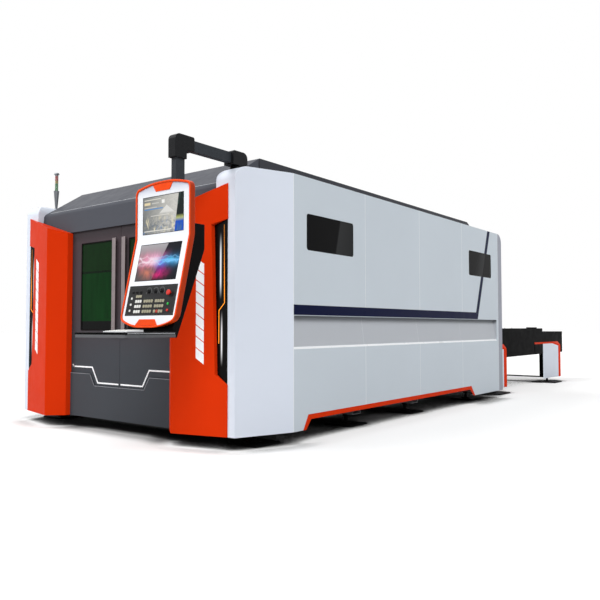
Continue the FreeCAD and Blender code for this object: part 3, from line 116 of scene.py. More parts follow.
class Finish:
    """One surface finish, built up from noise and simple sums on the object's own coordinates."""

    def __init__(self, name):
        self.material = bpy.data.materials.new(name)
        self.material.use_nodes = True
        self.tree = self.material.node_tree
        self.shader = self.tree.nodes["Principled BSDF"]
        self.place = self.add("ShaderNodeTexCoord").outputs["Object"]

    def add(self, kind, inputs=(), **settings):
        return add_node(self.tree, kind, inputs, **settings)

    def sum(self, operation, *values):
        return sum_in(self.tree, operation, *values)

    def times(self, first, second):
        return self.sum("MULTIPLY", first, second)

    def less(self, first, second):
        return self.sum("SUBTRACT", first, second)

    def scaled(self, value, factor, offset):
        return self.sum("MULTIPLY_ADD", value, factor, offset)

    def total(self, lights):
        """All the lights added up."""
        result = lights[0]
        for light in lights[1:]:
            result = self.sum("ADD", result, light)
        return result

    def axes(self):
        return self.add("ShaderNodeSeparateXYZ", [self.place]).outputs

    def noise(self, size, detail=2.0, stretch=(1, 1, 1), warp=0.0):
        """Cloudy pattern whose lumps are about size metres across."""
        scale = [1 / (size * part) for part in stretch]
        mapping = self.add("ShaderNodeMapping", {"Scale": scale, "Vector": self.place})
        inputs = {"Scale": 1.0, "Detail": detail, "Distortion": warp, "Vector": mapping.outputs[0]}
        return self.add("ShaderNodeTexNoise", inputs).outputs["Fac"]

    def spread(self, value, low, high, start=0.3, end=0.7, smooth=False):
        """Value from start to end spread out over low to high."""
        kind = "SMOOTHSTEP" if smooth else "LINEAR"
        node = self.add("ShaderNodeMapRange", [value, start, end, low, high], interpolation_type=kind)
        return node.outputs[0]

    def ramp(self, value, start, end, smooth=False):
        """0 up to start, rising to 1 at end."""
        return self.spread(value, 0.0, 1.0, start, end, smooth)

    def within(self, value, low, high, edge=EDGE):
        """1 between low and high, else 0, with a thin soft edge."""
        fall = self.spread(value, 1.0, 0.0, high - edge, high + edge)
        return self.times(self.ramp(value, low - edge, low + edge), fall)

    def mixed(self, share, first, second):
        inputs = {0: share, 6: shade_of(first), 7: shade_of(second)}
        return self.add("ShaderNodeMix", inputs, data_type="RGBA").outputs[2]

    def clouds(self, size, detail=2.0, stretch=(1, 1, 1)):
        """Noise drawn out over the whole range from 0 to 1."""
        return self.spread(self.noise(size, detail, stretch), 0.0, 1.0)

    def clouded(self, base, darker, lighter, size, detail):
        """Base colour that drifts between two of its tints."""
        return self.mixed(self.clouds(size, detail), tinted(base, darker), tinted(base, lighter))

    def smears(self, low, high, size=0.12):
        return self.spread(self.noise(size, 5.0, warp=0.6), low, high)

    def bump(self, height, depth):
        node = self.add("ShaderNodeBump", {"Strength": 1.0, "Distance": depth, "Height": height})
        feed(self.tree, self.shader.inputs["Normal"], node.outputs[0])

    def set(self, **values):
        """Feed the shader and hand back the material."""
        for name, value in values.items():
            feed(self.tree, self.shader.inputs[SHADER_SOCKETS[name]], shade_of(value))
        return self.material


def painted(name, base, rough=0.36, tone=0.035, peel=2.2, depth=0.03, dust=0.0, shine=0.28):
    """Sprayed paint: faint clouding, orange peel, smears of duller gloss and dust low down."""
    finish = Finish(name)
    shade = finish.clouded(base, 1 - tone, 1 + tone, 0.7, 4.0)
    if dust:
        low = finish.spread(finish.axes()[2], dust, 0.0, 0.0, 0.45, True)
        shade = finish.mixed(finish.times(low, finish.noise(0.05, 5.0)), shade, (150, 145, 138))
    finish.bump(finish.noise(peel * MM), depth * MM)
    return finish.set(colour=shade, rough=finish.smears(rough - 0.05, rough + 0.07), shine=shine)


def metal(name, base, rough=0.3, brushed=None):
    """Bare metal with fine lines along one axis, and slightly uneven tone."""
    finish = Finish(name)
    lines = finish.noise(0.0009, 3.0, [60 if axis == brushed else 1 for axis in "xyz"])
    finish.bump(lines, 0.02 * MM)
    shade = finish.clouded(base, 0.94, 1.06, 0.09, 4.0)
    return finish.set(colour=shade, rough=finish.spread(lines, rough - 0.06, rough + 0.08), metal=1.0)


def moulded(name, base, rough=0.4, grain=0.7, depth=0.02, coat=0.0, shine=0.3):
    """Moulded plastic with a fine leathery grain."""
    finish = Finish(name)
    fine = finish.noise(grain * MM)
    finish.bump(fine, depth * MM)
    shade = finish.clouded(base, 0.95, 1.05, 0.04, 3.0)
    return finish.set(colour=shade, rough=finish.spread(fine, rough - 0.04, rough + 0.05), coat=coat, shine=shine)


def lamp_lens(name, base):
    """Clear coloured lens with moulded ribs round it."""
    finish = Finish(name)
    finish.bump(finish.sum("SINE", finish.times(finish.axes()[2], 2 * math.pi / 0.004)), 0.3 * MM)
    shade = finish.clouded(base, 0.85, 1.1, 0.02, 2.0)
    return finish.set(colour=shade, rough=0.15, coat=1.0, clear=0.25, glow=base, glow_strength=0.05)


def amber_line():
    """Diffuser over a row of small lights, a little brighter at each one and dying away at the top."""
    finish = Finish("led_amber")
    base, height = (255, 150, 22), finish.axes()[2]
    dots = finish.ramp(finish.sum("SINE", finish.times(height, 2 * math.pi / 0.016)), -1.0, 1.0)
    shade = finish.mixed(finish.spread(dots, 0.86, 1.0, 0.0, 1.0), tinted(base, 0.75), base)
    shade = finish.mixed(finish.spread(height, 1.0, 0.22, 1.20, 1.66, True), tinted(base, 0.12), shade)
    return finish.set(colour=shade, glow=shade, glow_strength=1.0, rough=0.3)


def panel_paint(name, base, recess):
    """Side panel paint: blue band over the groove that turns up in a slanted line, a groove painted greyer as shade
    and darker still towards its top as painted shadow, and the rear end post painted darker grey as shade.
    """
    finish = Finish(name)
    x, y, z = finish.axes()[:3]
    along, out = finish.less(x, SEAM), finish.sum("ABSOLUTE", y)
    lean = (STRIPE_TOP[0] - STRIPE_FOOT[0]) / (STRIPE_TOP[1] - STRIPE_FOOT[1])
    across = finish.scaled(z, -lean, along)
    rear = STRIPE_FOOT[0] - lean * STRIPE_FOOT[1] + 0.044
    line = finish.times(finish.within(across, rear - 0.082, rear), finish.ramp(z, BAND[0] - EDGE, BAND[0] + EDGE))
    band = finish.times(finish.within(z, *BAND), finish.within(across, -1.0, rear))
    band = finish.times(band, finish.sum("GREATER_THAN", along, -0.002))
    stripe = finish.times(finish.sum("MAXIMUM", band, line), finish.sum("GREATER_THAN", out, 1.611))
    paint = finish.clouded(base, 0.985, 1.01, 0.8, 4.0)
    # Painted shade: the rear end post, past 4.351 m from the seam, is darker grey.
    paint = finish.mixed(finish.sum("GREATER_THAN", along, 4.351), paint, (160, 163, 174))
    # Painted shade: the groove is greyer, and painted shadow darkens it further towards its top.
    pressed = finish.times(finish.within(z, 0.768, 1.0176), finish.sum("LESS_THAN", out, 1.6155))
    pressed = finish.times(pressed, finish.sum("LESS_THAN", along, 4.296))
    shadow = finish.mixed(finish.ramp(z, 0.955, 1.012, True), recess, tinted(recess, 0.42))
    paint = finish.mixed(pressed, paint, shadow)
    finish.bump(finish.noise(2.2 * MM), 0.03 * MM)
    paint = finish.mixed(stripe, paint, (3, 12, 50))
    return finish.set(colour=paint, rough=finish.smears(0.34, 0.42, 0.15), shine=0.05)


def shell_with_painted_side_shade():
    """Moulded orange rim of the pendant, its sides painted a deeper orange than its front as painted shade."""
    finish = Finish("pendant_orange")
    turned = finish.add("ShaderNodeSeparateXYZ", [finish.add("ShaderNodeTexCoord").outputs["Normal"]])
    # Painted shade: faces turned to either side take the deeper orange.
    side = finish.ramp(finish.sum("ABSOLUTE", turned.outputs[1]), 0.55, 0.9, True)
    shade = finish.mixed(side, finish.clouded((238, 74, 14), 0.96, 1.03, 0.04, 3.0), (176, 52, 10))
    fine = finish.noise(0.9 * MM)
    finish.bump(fine, 0.008 * MM)
    return finish.set(colour=shade, rough=finish.spread(fine, 0.26, 0.34), coat=0.05, shine=0.1)


def face_enamel_with_painted_shadow():
    """White face enamel, with painted shadow that turns it a cool grey towards its curved top."""
    finish = Finish("pendant_white")
    white = finish.mixed(finish.clouds(0.3, 3.0), (234, 237, 242), (238, 241, 246))
    # Painted shadow: cool grey towards the top of the face.
    shade = finish.mixed(finish.ramp(finish.axes()[2], 1.835, 1.915, True), white, (190, 195, 212))
    finish.bump(finish.noise(1.6 * MM), 0.01 * MM)
    return finish.set(colour=shade, rough=finish.smears(0.28, 0.38), shine=0.1)


def door_paint_with_painted_light():
    """Door enamel: a warmer grey round the windows than on the plain lower half as painted reflection of the orange
    columns, and painted shadow at the top under the canopy.
    """
    finish = Finish("door_grey")
    z = finish.axes()[2]
    low, high = (finish.clouded(chip, 0.96, 1.04, 0.7, 4.0) for chip in ((68, 71, 76), (74, 65, 69)))
    # Painted reflection: the upper half warms towards the orange of the columns.
    shade = finish.mixed(finish.ramp(z, 0.62, 1.15, True), low, high)
    # Painted shadow: darker above 1.70 m, under the canopy.
    shade = finish.mixed(finish.ramp(z, 1.70, 1.80, True), shade, (62, 57, 60))
    finish.bump(finish.noise(2.2 * MM), 0.03 * MM)
    return finish.set(colour=shade, rough=finish.smears(0.38, 0.47), shine=0.03)


def green_pane():
    """Green laser-safe sheet: dark, glossy, with faint streaks, a duller band over its top with a dark line along its
    foot, and a near-black strip low down.
    """
    finish = Finish("green_pane")
    z = finish.axes()[2]
    shade = finish.mixed(finish.clouds(0.05, 3.0, (1, 1, 8)), (2, 43, 11), (5, 55, 17))
    for share, chip in (
        (finish.times(finish.ramp(z, 1.43, 1.445), 0.55), (18, 34, 14)),
        (finish.within(z, 1.425, 1.445, 0.003), (6, 26, 10)),
        (finish.within(z, 0.80, 0.982), (15, 16, 16)),
    ):
        shade = finish.mixed(share, shade, chip)
    return finish.set(colour=shade, rough=0.08, clear=0.1, ior=1.45, shine=0.02)


def dark_pane():
    """Tinted window sheets, each with a smoky slanted sheen painted as reflection towards its rear."""
    finish = Finish("dark_pane")
    x, _, z = finish.axes()[:3]
    along = finish.less(x, SEAM)
    # Painted reflection: two slanted sheens, lighter towards the rear of each sheet.
    slant = finish.scaled(z, -0.25, along)
    first = finish.times(finish.ramp(slant, 0.195, 0.215), finish.spread(slant, 1.0, 0.4, 0.21, 0.60))
    first = finish.times(first, finish.sum("LESS_THAN", slant, 1.5))
    steep = finish.scaled(z, -0.3715, along)
    second = finish.times(finish.spread(steep, 0.0, 0.8, 2.98, 3.25, True),
                          finish.spread(steep, 1.0, 0.0, 3.252, 3.262))
    tone = finish.mixed(finish.noise(0.3), (14, 14, 15), (21, 21, 22))
    shade = finish.mixed(finish.times(finish.sum("MAXIMUM", first, second), 0.7), tone, (60, 61, 62))
    return finish.set(colour=shade, rough=finish.spread(finish.noise(0.12, 3.0), 0.05, 0.12), shine=0.025)


def screen_axes(finish, low, high):
    """Across (-1 to 1, viewer's left to right) and up (0 to 1) on one of the pendant's screens."""
    _, y, z = finish.axes()[:3]
    return finish.sum("DIVIDE", finish.less(PENDANT_MIDDLE, y), 0.212), finish.ramp(z, low, high)


def lit_page(finish, across, up, page, strength, glass):
    """Screen that glows with its page, inside a thin black border."""
    inside = finish.times(finish.within(across, -0.982, 0.982, 0.004), finish.within(up, 0.016, 0.984, 0.003))
    page = finish.mixed(inside, (8, 8, 9), page)
    return finish.set(colour=glass, glow=page, glow_strength=strength, rough=0.12, shine=0.1)


def bell(finish, away):
    """Soft hill over 0 of a squared distance."""
    return finish.sum("EXPONENT", finish.times(away, -1.0))


def patch_of(finish, across, up, middle, reach, power):
    """Soft round patch of light."""
    dx, dy = (finish.sum("DIVIDE", finish.less(value, centre), size)
              for value, centre, size in zip((across, up), middle, reach))
    return finish.times(bell(finish, finish.scaled(dx, dx, finish.times(dy, dy))), power)


def program_screen():
    """Upper screen: a pale nesting page with plain bars and blocks, and a dark strip of painted glare."""
    finish = Finish("program_screen")
    across, up = screen_axes(finish, 1.573, 1.839)
    page = finish.mixed(finish.ramp(across, -0.9, 0.5), (134, 136, 134), (214, 212, 205))
    low = finish.spread(up, 1.0, 0.0, 0.25, 0.55, True)
    soft = finish.ramp(finish.noise(0.05, 4.0, (1, 1, 0.5), 1.4), 0.4, 0.62)
    page = finish.mixed(finish.times(soft, finish.scaled(low, 0.45, 0.15)), page, (92, 104, 116))
    blots = finish.spread(finish.noise(0.030, 2.0, (1, 1, 2.2), 0.8), 0.0, 0.85, 0.54, 0.66)
    page = finish.mixed(finish.times(blots, low), page, (236, 226, 190))
    sparks = finish.spread(finish.noise(0.017, 2.0, (1, 1, 2), 0.5), 0.0, 0.8, 0.62, 0.70)
    page = finish.mixed(finish.times(sparks, low), page, (84, 148, 220))
    peak = finish.scaled(finish.sum("ABSOLUTE", finish.less(across, 0.18)), -0.55, 0.74)
    hill = finish.times(finish.ramp(finish.less(peak, up), 0.0, 0.02), finish.ramp(up, 0.50, 0.56))
    page = finish.mixed(finish.times(hill, 0.75), page, (240, 239, 234))
    for left, right, bottom, top, ink in (
        (-0.92, -0.10, 0.905, 0.925, (238, 234, 220)), (-0.92, -0.62, 0.78, 0.85, (236, 220, 178)),
        (-0.55, -0.20, 0.80, 0.83, (206, 206, 200)), (-0.92, 0.00, 0.655, 0.680, (88, 146, 208)),
        (-0.06, 0.08, 0.79, 0.88, (250, 250, 246)), (-0.92, -0.30, 0.70, 0.715, (228, 226, 216)),
        (-0.60, 0.30, 0.475, 0.490, (232, 230, 222)), (-0.92, 0.42, 0.075, 0.100, (230, 228, 220)),
    ):
        box = finish.times(finish.within(across, left, right, 0.012), finish.within(up, bottom, top, 0.006))
        page = finish.mixed(box, page, ink)
    # Painted reflection: a dark strip of glare to the right of a slanted line.
    dark_glare = finish.mixed(finish.ramp(up, 0.26, 0.36), (26, 84, 196), (196, 202, 120))
    dark_glare = finish.mixed(finish.ramp(up, 0.34, 0.44), dark_glare, (20, 30, 30))
    dark_glare = finish.mixed(finish.times(blots, 0.5), dark_glare, (92, 132, 120))
    slope = finish.scaled(up, -0.20, across)
    page = finish.mixed(finish.ramp(slope, 0.545, 0.565), page, dark_glare)
    return lit_page(finish, across, up, page, 0.92, (12, 12, 14))


def wave_screen():
    """Lower screen: clouds and waves of coloured light over black, under a slanted veil of painted glare."""
    finish = Finish("wave_screen")
    across, up = screen_axes(finish, 1.241, 1.502)
    wisps = finish.spread(finish.noise(0.05, 5.0, (1, 1, 1.6), 1.6), 0.35, 1.45)
    page = (7, 6, 16)
    for middle, reach, power, ink in (
        ((-0.60, 0.56), (0.55, 0.22), 0.95, (214, 40, 104)), ((-0.18, 0.58), (0.42, 0.17), 1.0, (246, 120, 186)),
        ((-0.45, 0.24), (0.30, 0.16), 0.7, (214, 110, 66)), ((0.14, 0.34), (0.22, 0.16), 0.8, (120, 12, 132)),
        ((0.30, 0.24), (0.26, 0.10), 0.6, (190, 16, 120)), ((0.62, 0.52), (0.46, 0.13), 0.8, (18, 130, 190)),
        ((0.10, 0.48), (0.26, 0.10), 0.9, (86, 64, 230)), ((0.55, 0.54), (0.22, 0.045), 0.9, (90, 220, 255)),
        ((-0.22, 0.55), (0.24, 0.10), 1.2, (255, 214, 236)), ((0.10, 0.14), (0.30, 0.08), 0.7, (226, 30, 120)),
    ):
        light = finish.times(patch_of(finish, across, up, middle, reach, power), wisps)
        page = finish.mixed(finish.sum("MINIMUM", light, 1.0), page, ink)
    waves = []
    for seed, (middle, height, width, power) in enumerate((
        (0.56, 0.30, 0.022, 1.0), (0.50, 0.46, 0.012, 0.8), (0.62, 0.40, 0.010, 0.7), (0.48, 0.34, 0.04, 0.4),
    )):
        wander = finish.noise(0.085 + 0.02 * seed, 2.5, (1, 1, 30), 0.3 + 0.2 * seed)
        level = finish.scaled(wander, height, middle - height / 2)
        away = finish.sum("DIVIDE", finish.less(up, level), width)
        waves.append(finish.sum("DIVIDE", power, finish.scaled(away, away, 1.0)))
    tint = finish.mixed(finish.ramp(across, -0.3, 0.15), (255, 226, 240), (120, 200, 255))
    page = finish.mixed(finish.sum("MINIMUM", finish.times(finish.total(waves), 0.8), 1.0), page, tint)
    # Painted reflection: a pale veil of glare left of a slanted line.
    slope = finish.scaled(up, -0.55, across)
    glare_veil = finish.times(finish.spread(slope, 0.30, 0.0, -0.20, -0.18), finish.spread(up, 0.35, 1.9, 0.45, 0.98))
    page = finish.mixed(glare_veil, page, (226, 222, 226))
    return lit_page(finish, across, up, page, 0.95, (10, 10, 12))


def light_lens():
    """Smoked cover over the column's lights, with two soft upright streaks of white light."""
    finish = Finish("light_lens")
    _, y, z = finish.axes()[:3]
    out = finish.sum("ABSOLUTE", y)
    streaks = []
    for middle, low, high, wide in ((1.297, 1.130, 1.660, 0.0075), (1.309, 0.620, 1.060, 0.0070)):
        away = finish.sum("DIVIDE", finish.less(out, middle), wide)
        ends = finish.times(finish.ramp(z, low, low + 0.16, True), finish.spread(z, 1.0, 0.0, high - 0.20, high, True))
        streaks.append(finish.times(bell(finish, finish.times(away, away)), ends))
    shade = finish.mixed(finish.noise(0.2), (12, 12, 12), (17, 17, 17))
    lit = finish.mixed(finish.total(streaks), (0, 0, 0), (250, 250, 252))
    return finish.set(colour=shade, glow=lit, glow_strength=1.1, rough=0.2, shine=0.05)


def slat_steel():
    """Steel bars browned and spattered by the beam along their toothed edges."""
    finish = Finish("slat_steel")
    base = finish.mixed(finish.noise(0.05, 4.0), (112, 112, 114), (150, 150, 152))
    burn = finish.spread(finish.noise(0.03, 5.0, warp=0.8), 0.0, 0.8, 0.45, 0.72)
    finish.bump(finish.noise(0.0025, 4.0), 0.12 * MM)
    shade = finish.mixed(burn, base, (92, 66, 48))
    return finish.set(colour=shade, rough=finish.spread(burn, 0.42, 0.75, 0.0, 0.8), metal=0.85)


def key_membrane():
    """Printed membrane round the keys, nearly black."""
    finish = Finish("key_membrane")
    finish.bump(finish.noise(0.9 * MM), 0.015 * MM)
    shade = finish.mixed(finish.noise(0.12, 3.0), (20, 20, 21), (30, 30, 32))
    return finish.set(colour=shade, rough=0.34, shine=0.2)


FINISH = {
    "white": painted("cabinet_white", (220, 227, 239), 0.36, tone=0.012, shine=0.15),
    "wall": painted("wall_white", (207, 215, 223), 0.38, tone=0.015, shine=0.1),
    "panel": panel_paint("panel_paint", (204, 213, 221), (186, 190, 196)),
    "bead": panel_paint("seam_bead_paint", (252, 254, 255), (214, 218, 222)),
    "orange": painted("orange_lacquer", (214, 52, 9), 0.34, tone=0.03, shine=0.025),
    "shell": shell_with_painted_side_shade(),
    "canopy": painted("canopy_grey", (78, 80, 87), 0.40, tone=0.015, depth=0.004, shine=0.04),
    "roof": painted("roof_grey", (62, 63, 68), 0.4, tone=0.03, depth=0.006, shine=0.06),
    "door": door_paint_with_painted_light(),
    "skirt": painted("skirt_grey", (70, 73, 78), 0.38, tone=0.04, shine=0.03),
    "bed": painted("bed_enamel", (120, 124, 130), 0.45, tone=0.06, dust=0.5),
    "black": painted("satin_black", (14, 14, 15), 0.42, tone=0.08, shine=0.04),
    "table": painted("table_black", (15, 15, 16), 0.5, tone=0.12, shine=0.015),
    "arm": painted("arm_black", (27, 28, 30), 0.30, tone=0.06, shine=0.10),
    "tube": painted("tube_grey", (52, 56, 61), 0.3, tone=0.04, shine=0.1),
    "tray": painted("tray_black", (17, 17, 18), 0.34, tone=0.12, shine=0.06),
    "rail": painted("tray_rail_grey", (92, 93, 96), 0.3, tone=0.04, shine=0.14),
    "cast": painted("cast_black", (10, 10, 11), 0.6, tone=0.15, peel=3.0, depth=0.12, shine=0.05),
    "rubber": moulded("gasket_rubber", (14, 14, 14), 0.62, 1.0, 0.02, shine=0.06),
    "strip": painted("strip_white", (250, 252, 255), 0.3, tone=0.01),
    "plate": face_enamel_with_painted_shadow(),
    "housing": painted("housing_black", (10, 10, 11), 0.48, tone=0.1, peel=1.6, depth=0.04, shine=0.05),
    "steel": metal("ground_steel", (168, 170, 174), 0.28, "x"),
    "wheel": metal("wheel_steel", (150, 152, 156), 0.3),
    "screw": metal("screw_steel", (120, 122, 126), 0.32),
    "alloy": metal("machined_alloy", (196, 198, 202), 0.32, "y"),
    "head": metal("head_alloy", (206, 208, 212), 0.26, "z"),
    "handle": metal("pull_bar", (146, 136, 137), 0.34, "z"),
    # Painted highlight along the skirt's top edge.
    "trim": painted("skirt_edge_highlight_grey", (150, 152, 158), 0.3, tone=0.02, shine=0.1),
    # Painted highlight along the canopy's fold and round the tray's lip.
    "fold": painted("fold_highlight", (206, 209, 214), 0.28, tone=0.02, shine=0.1),
    "ink": moulded("panel_print", (88, 89, 90), 0.5, shine=0.05),
    "pallet": painted("pallet_grey", (74, 77, 82), 0.5, tone=0.08, shine=0.08),
    "tower": metal("tower_metal", (120, 123, 128), 0.38, "z"),
    "slats": slat_steel(),
    "green": green_pane(),
    "dark": dark_pane(),
    "page": program_screen(),
    "waves": wave_screen(),
    "keys": key_membrane(),
    "cap_red": moulded("cap_red", (206, 44, 34), 0.22, 1.2, 0.006, 0.15),
    "cap_green": moulded("cap_green", (28, 168, 62), 0.22, 1.2, 0.006, 0.15),
    "knob": moulded("knob_black", (42, 42, 43), 0.45, shine=0.1),
    "key_white": moulded("key_white", (228, 228, 224), 0.4),
    "key_beige": moulded("key_beige", (160, 155, 132), 0.42),
    "key_red": moulded("key_red", (176, 52, 40), 0.4),
    "keyboard": moulded("keyboard_white", (214, 216, 219), 0.45),
    "lens_red": lamp_lens("lens_red", (150, 60, 58)),
    "lens_amber": lamp_lens("lens_amber", (150, 130, 70)),
    "lens_green": lamp_lens("lens_green", (60, 120, 74)),
    "led_amber": amber_line(),
    "light_lens": light_lens(),
}


# ---------------------------------------------------------------- shaping
def linked(name, data):
    """New object in the scene."""
    made = bpy.data.objects.new(name, data)
    bpy.context.scene.collection.objects.link(made)
    return made


def mesh_from(work, name, outwards=True):
    """Plain mesh from a work mesh, which is let go."""
    if outwards:
        bmesh.ops.recalc_face_normals(work, faces=work.faces)
    mesh = bpy.data.meshes.new(name)
    work.to_mesh(mesh)
    work.free()
    return mesh


def shaded(mesh):
    """Smooth where the surface curves, crisp where it folds."""
    mesh.shade_smooth()
    mesh.set_sharp_from_angle(angle=math.radians(34.0))
    return mesh


def baked(thing):
    """Plain mesh of an object with its modifiers worked in."""
    shaped = thing.evaluated_get(bpy.context.evaluated_depsgraph_get())
    return bpy.data.meshes.new_from_object(shaped)


def with_round_edges(mesh, width, segments=2):
    """Mesh with its folds rounded off, and shading that keeps its flats flat."""
    helper = linked("helper", shaded(mesh))
    if width:
        bevel = helper.modifiers.new("round", "BEVEL")
        bevel.width = width
        bevel.segments = segments
        bevel.limit_method = "ANGLE"
        bevel.angle_limit = math.radians(28.0)
        bevel.use_clamp_overlap = True
        bevel.miter_outer = "MITER_ARC"
    weigh = helper.modifiers.new("weigh", "WEIGHTED_NORMAL")
    weigh.weight = 100
    weigh.keep_sharp = True
    result = baked(helper)
    bpy.data.objects.remove(helper)
    return result


def piece(name, mesh, finish, body="machine", slot=None, stands_for=()):
    """Finished object that rides on a body."""
    mesh.name = name
    mesh.materials.clear()
    mesh.materials.append(FINISH[finish])
    made = linked(name, mesh)
    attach(made, body)
    if stands_for:
        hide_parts(*stands_for)


def node_mesh(node):
    """Merged copy of a CAD node's triangles, its flat faces made whole."""
    source = frame["nodes"][node].data
    mesh = bpy.data.meshes.new(node + "_copy")
    mesh.from_pydata([tuple(v.co) for v in source.vertices], [], [tuple(p.vertices) for p in source.polygons])
    work = bmesh.new()
    work.from_mesh(mesh)
    bmesh.ops.remove_doubles(work, verts=work.verts, dist=0.02 * MM)
    bmesh.ops.dissolve_limit(work, angle_limit=math.radians(0.5), verts=work.verts, edges=work.edges)
    return mesh_from(work, node + "_copy", False)


def dressed(node, finish, rounded):
    """CAD node with its finish: kept as it is, or stood for by a copy with rounded edges."""
    if rounded is None:
        materials = frame["nodes"][node].data.materials
        materials.clear()
        materials.append(FINISH[finish])
    else:
        mesh = with_round_edges(node_mesh(node), rounded * MM)
        piece(node + "_finished", mesh, finish, body_of[node], slot_of[node], [node])


class Face:
    """Flat face of the machine: an origin, the viewer's right, and up."""

    def __init__(self, origin, right, up):
        self.origin, self.right, self.up = Vector(origin), Vector(right).normalized(), Vector(up).normalized()
        self.out = self.right.cross(self.up)

    def matrix(self):
        turn = Matrix((self.right, self.up, self.out)).transposed().to_4x4()
        return Matrix.Translation(self.origin) @ turn

    def moved(self, right=0.0, up=0.0, out=0.0):
        origin = self.origin + self.right * right + self.up * up + self.out * out
        return Face(origin, self.right, self.up)


def front_face(x):
    """Upright face towards the doors, its heights counted from the floor."""
    return Face((x, 0.0, 0.0), (0, -1, 0), (0, 0, 1))


def top_face(x, y, z):
    return Face((x, y, z), (1, 0, 0), (0, 1, 0))


def touched(node, start, direction):
    """Point and outward normal where a ray from start first meets a CAD node."""
    data = frame["nodes"][node].data
    tree = BVHTree.FromPolygons([v.co for v in data.vertices], [p.vertices for p in data.polygons])
    place, normal, _, _ = tree.ray_cast(Vector(start), Vector(direction).normalized())
    if place is None:
        raise ValueError("no surface of " + node + " on that ray")
    return place, normal


def face_at(node, start, direction, right=None):
    """Face that lies on a CAD node's surface where a ray meets it."""
    place, normal = touched(node, start, direction)
    right = Vector(right) if right else Vector((0, 0, 1)).cross(normal)
    return Face(place, right, normal.cross(right))


def extruded(outline, low, high):
    """Flat shape between two heights; outline is anticlockwise seen from the high side."""
    work = bmesh.new()
    bottom, top = ([work.verts.new((x, y, height)) for x, y in outline] for height in (low, high))
    work.faces.new(bottom[::-1])
    work.faces.new(top)
    for index in range(len(outline)):
        after = (index + 1) % len(outline)
        work.faces.new((bottom[index], bottom[after], top[after], top[index]))
    return mesh_from(work, "extruded")


def anticlockwise(outline):
    area = sum(a[0] * b[1] - b[0] * a[1] for a, b in zip(outline, outline[1:] + outline[:1]))
    return outline if area > 0 else outline[::-1]


def rectangle(left, low, right, high):
    return [(left, low), (right, low), (right, high), (left, high)]


def rounded_box(width, height, radius, steps=6):
    """Outline of a rectangle with round corners, about its middle."""
    points = []
    for turn, (sx, sy) in enumerate(((1, 1), (-1, 1), (-1, -1), (1, -1))):
        for step in range(steps + 1):
            angle = math.radians(90 * turn + 90 * step / steps)
            points.append((
                sx * (width / 2 - radius) + radius * math.cos(angle),
                sy * (height / 2 - radius) + radius * math.sin(angle),
            ))
    return points


def arc(radius, degrees):
    """Points round the middle at the given angles."""
    return [(radius * math.cos(math.radians(angle)), radius * math.sin(math.radians(angle))) for angle in degrees]


def faces_between(loops, closed):
    """Tube of faces between four loops of points, each loop joined to the next, open or closed lengthwise."""
    work = bmesh.new()
    loops = [[work.verts.new(point) for point in loop] for loop in loops]
    count = len(loops[0])
    for first, second in ((0, 1), (1, 2), (2, 3), (3, 0)):
        for index in range(count if closed else count - 1):
            after = (index + 1) % count
            work.faces.new((loops[first][index], loops[first][after], loops[second][after], loops[second][index]))
    if not closed:
        for end in (0, -1):
            work.faces.new([loop[end] for loop in loops])
    return work


def ring_between(outer, inner, low, high):
    """Flat frame between two outlines that have the same number of points."""
    levels = ((outer, low), (outer, high), (inner, high), (inner, low))
    return mesh_from(faces_between([[(x, y, z) for x, y in outline] for outline, z in levels], True), "ring")


def ribbon(points, width):
    """Outline of a band of one width along a bent line, its corners mitred."""
    left, right = [], []
    for index, point in enumerate(points):
        here = Vector(point)
        before = (here - Vector(points[index - 1])).normalized() if index else None
        after = (Vector(points[index + 1]) - here).normalized() if index + 1 < len(points) else None
        before, after = before or after, after or before
        along = (before + after).normalized()
        across = Vector((-along.y, along.x))
        reach = width / 2 / max(0.3, across.dot(Vector((-before.y, before.x))))
        left.append(tuple(here + across * reach))
        right.append(tuple(here - across * reach))
    return right + left[::-1]


def turned_shape(profile, steps=32):
    """Round shape from a profile of (radius, height) points, about Z; it starts on the axis."""
    work = bmesh.new()
    rings = []
    for radius, height in profile:
        angles = [2 * math.pi * k / steps for k in range(steps)] if radius else [0.0]
        rings.append([work.verts.new((radius * math.cos(a), radius * math.sin(a), height)) for a in angles])
    for low, high in zip(rings, rings[1:]):
        for k in range(steps):
            after = (k + 1) % steps
            corners = [low[k % len(low)], low[after % len(low)], high[after % len(high)], high[k % len(high)]]
            corners = list(dict.fromkeys(corners))
            if len(corners) > 2:
                work.faces.new(corners)
    return shaded(mesh_from(work, "turned"))


def joined(meshes):
    """One mesh from several."""
    if len(meshes) == 1:
        return meshes[0]
    work = bmesh.new()
    for mesh in meshes:
        work.from_mesh(mesh)
    return mesh_from(work, "joined", False)


def on(face, mesh):
    """Mesh drawn in a face's own axes, put in its place."""
    mesh.transform(face.matrix())
    return mesh


def laid(face, outline, low, high, rounded=None, segments=2):
    """Flat shape on a face, its outline given in the face's own axes and its edges rounded in millimetres."""
    mesh = on(face, extruded(anticlockwise(outline), low, high))
    return mesh if rounded is None else with_round_edges(mesh, rounded * MM, segments)


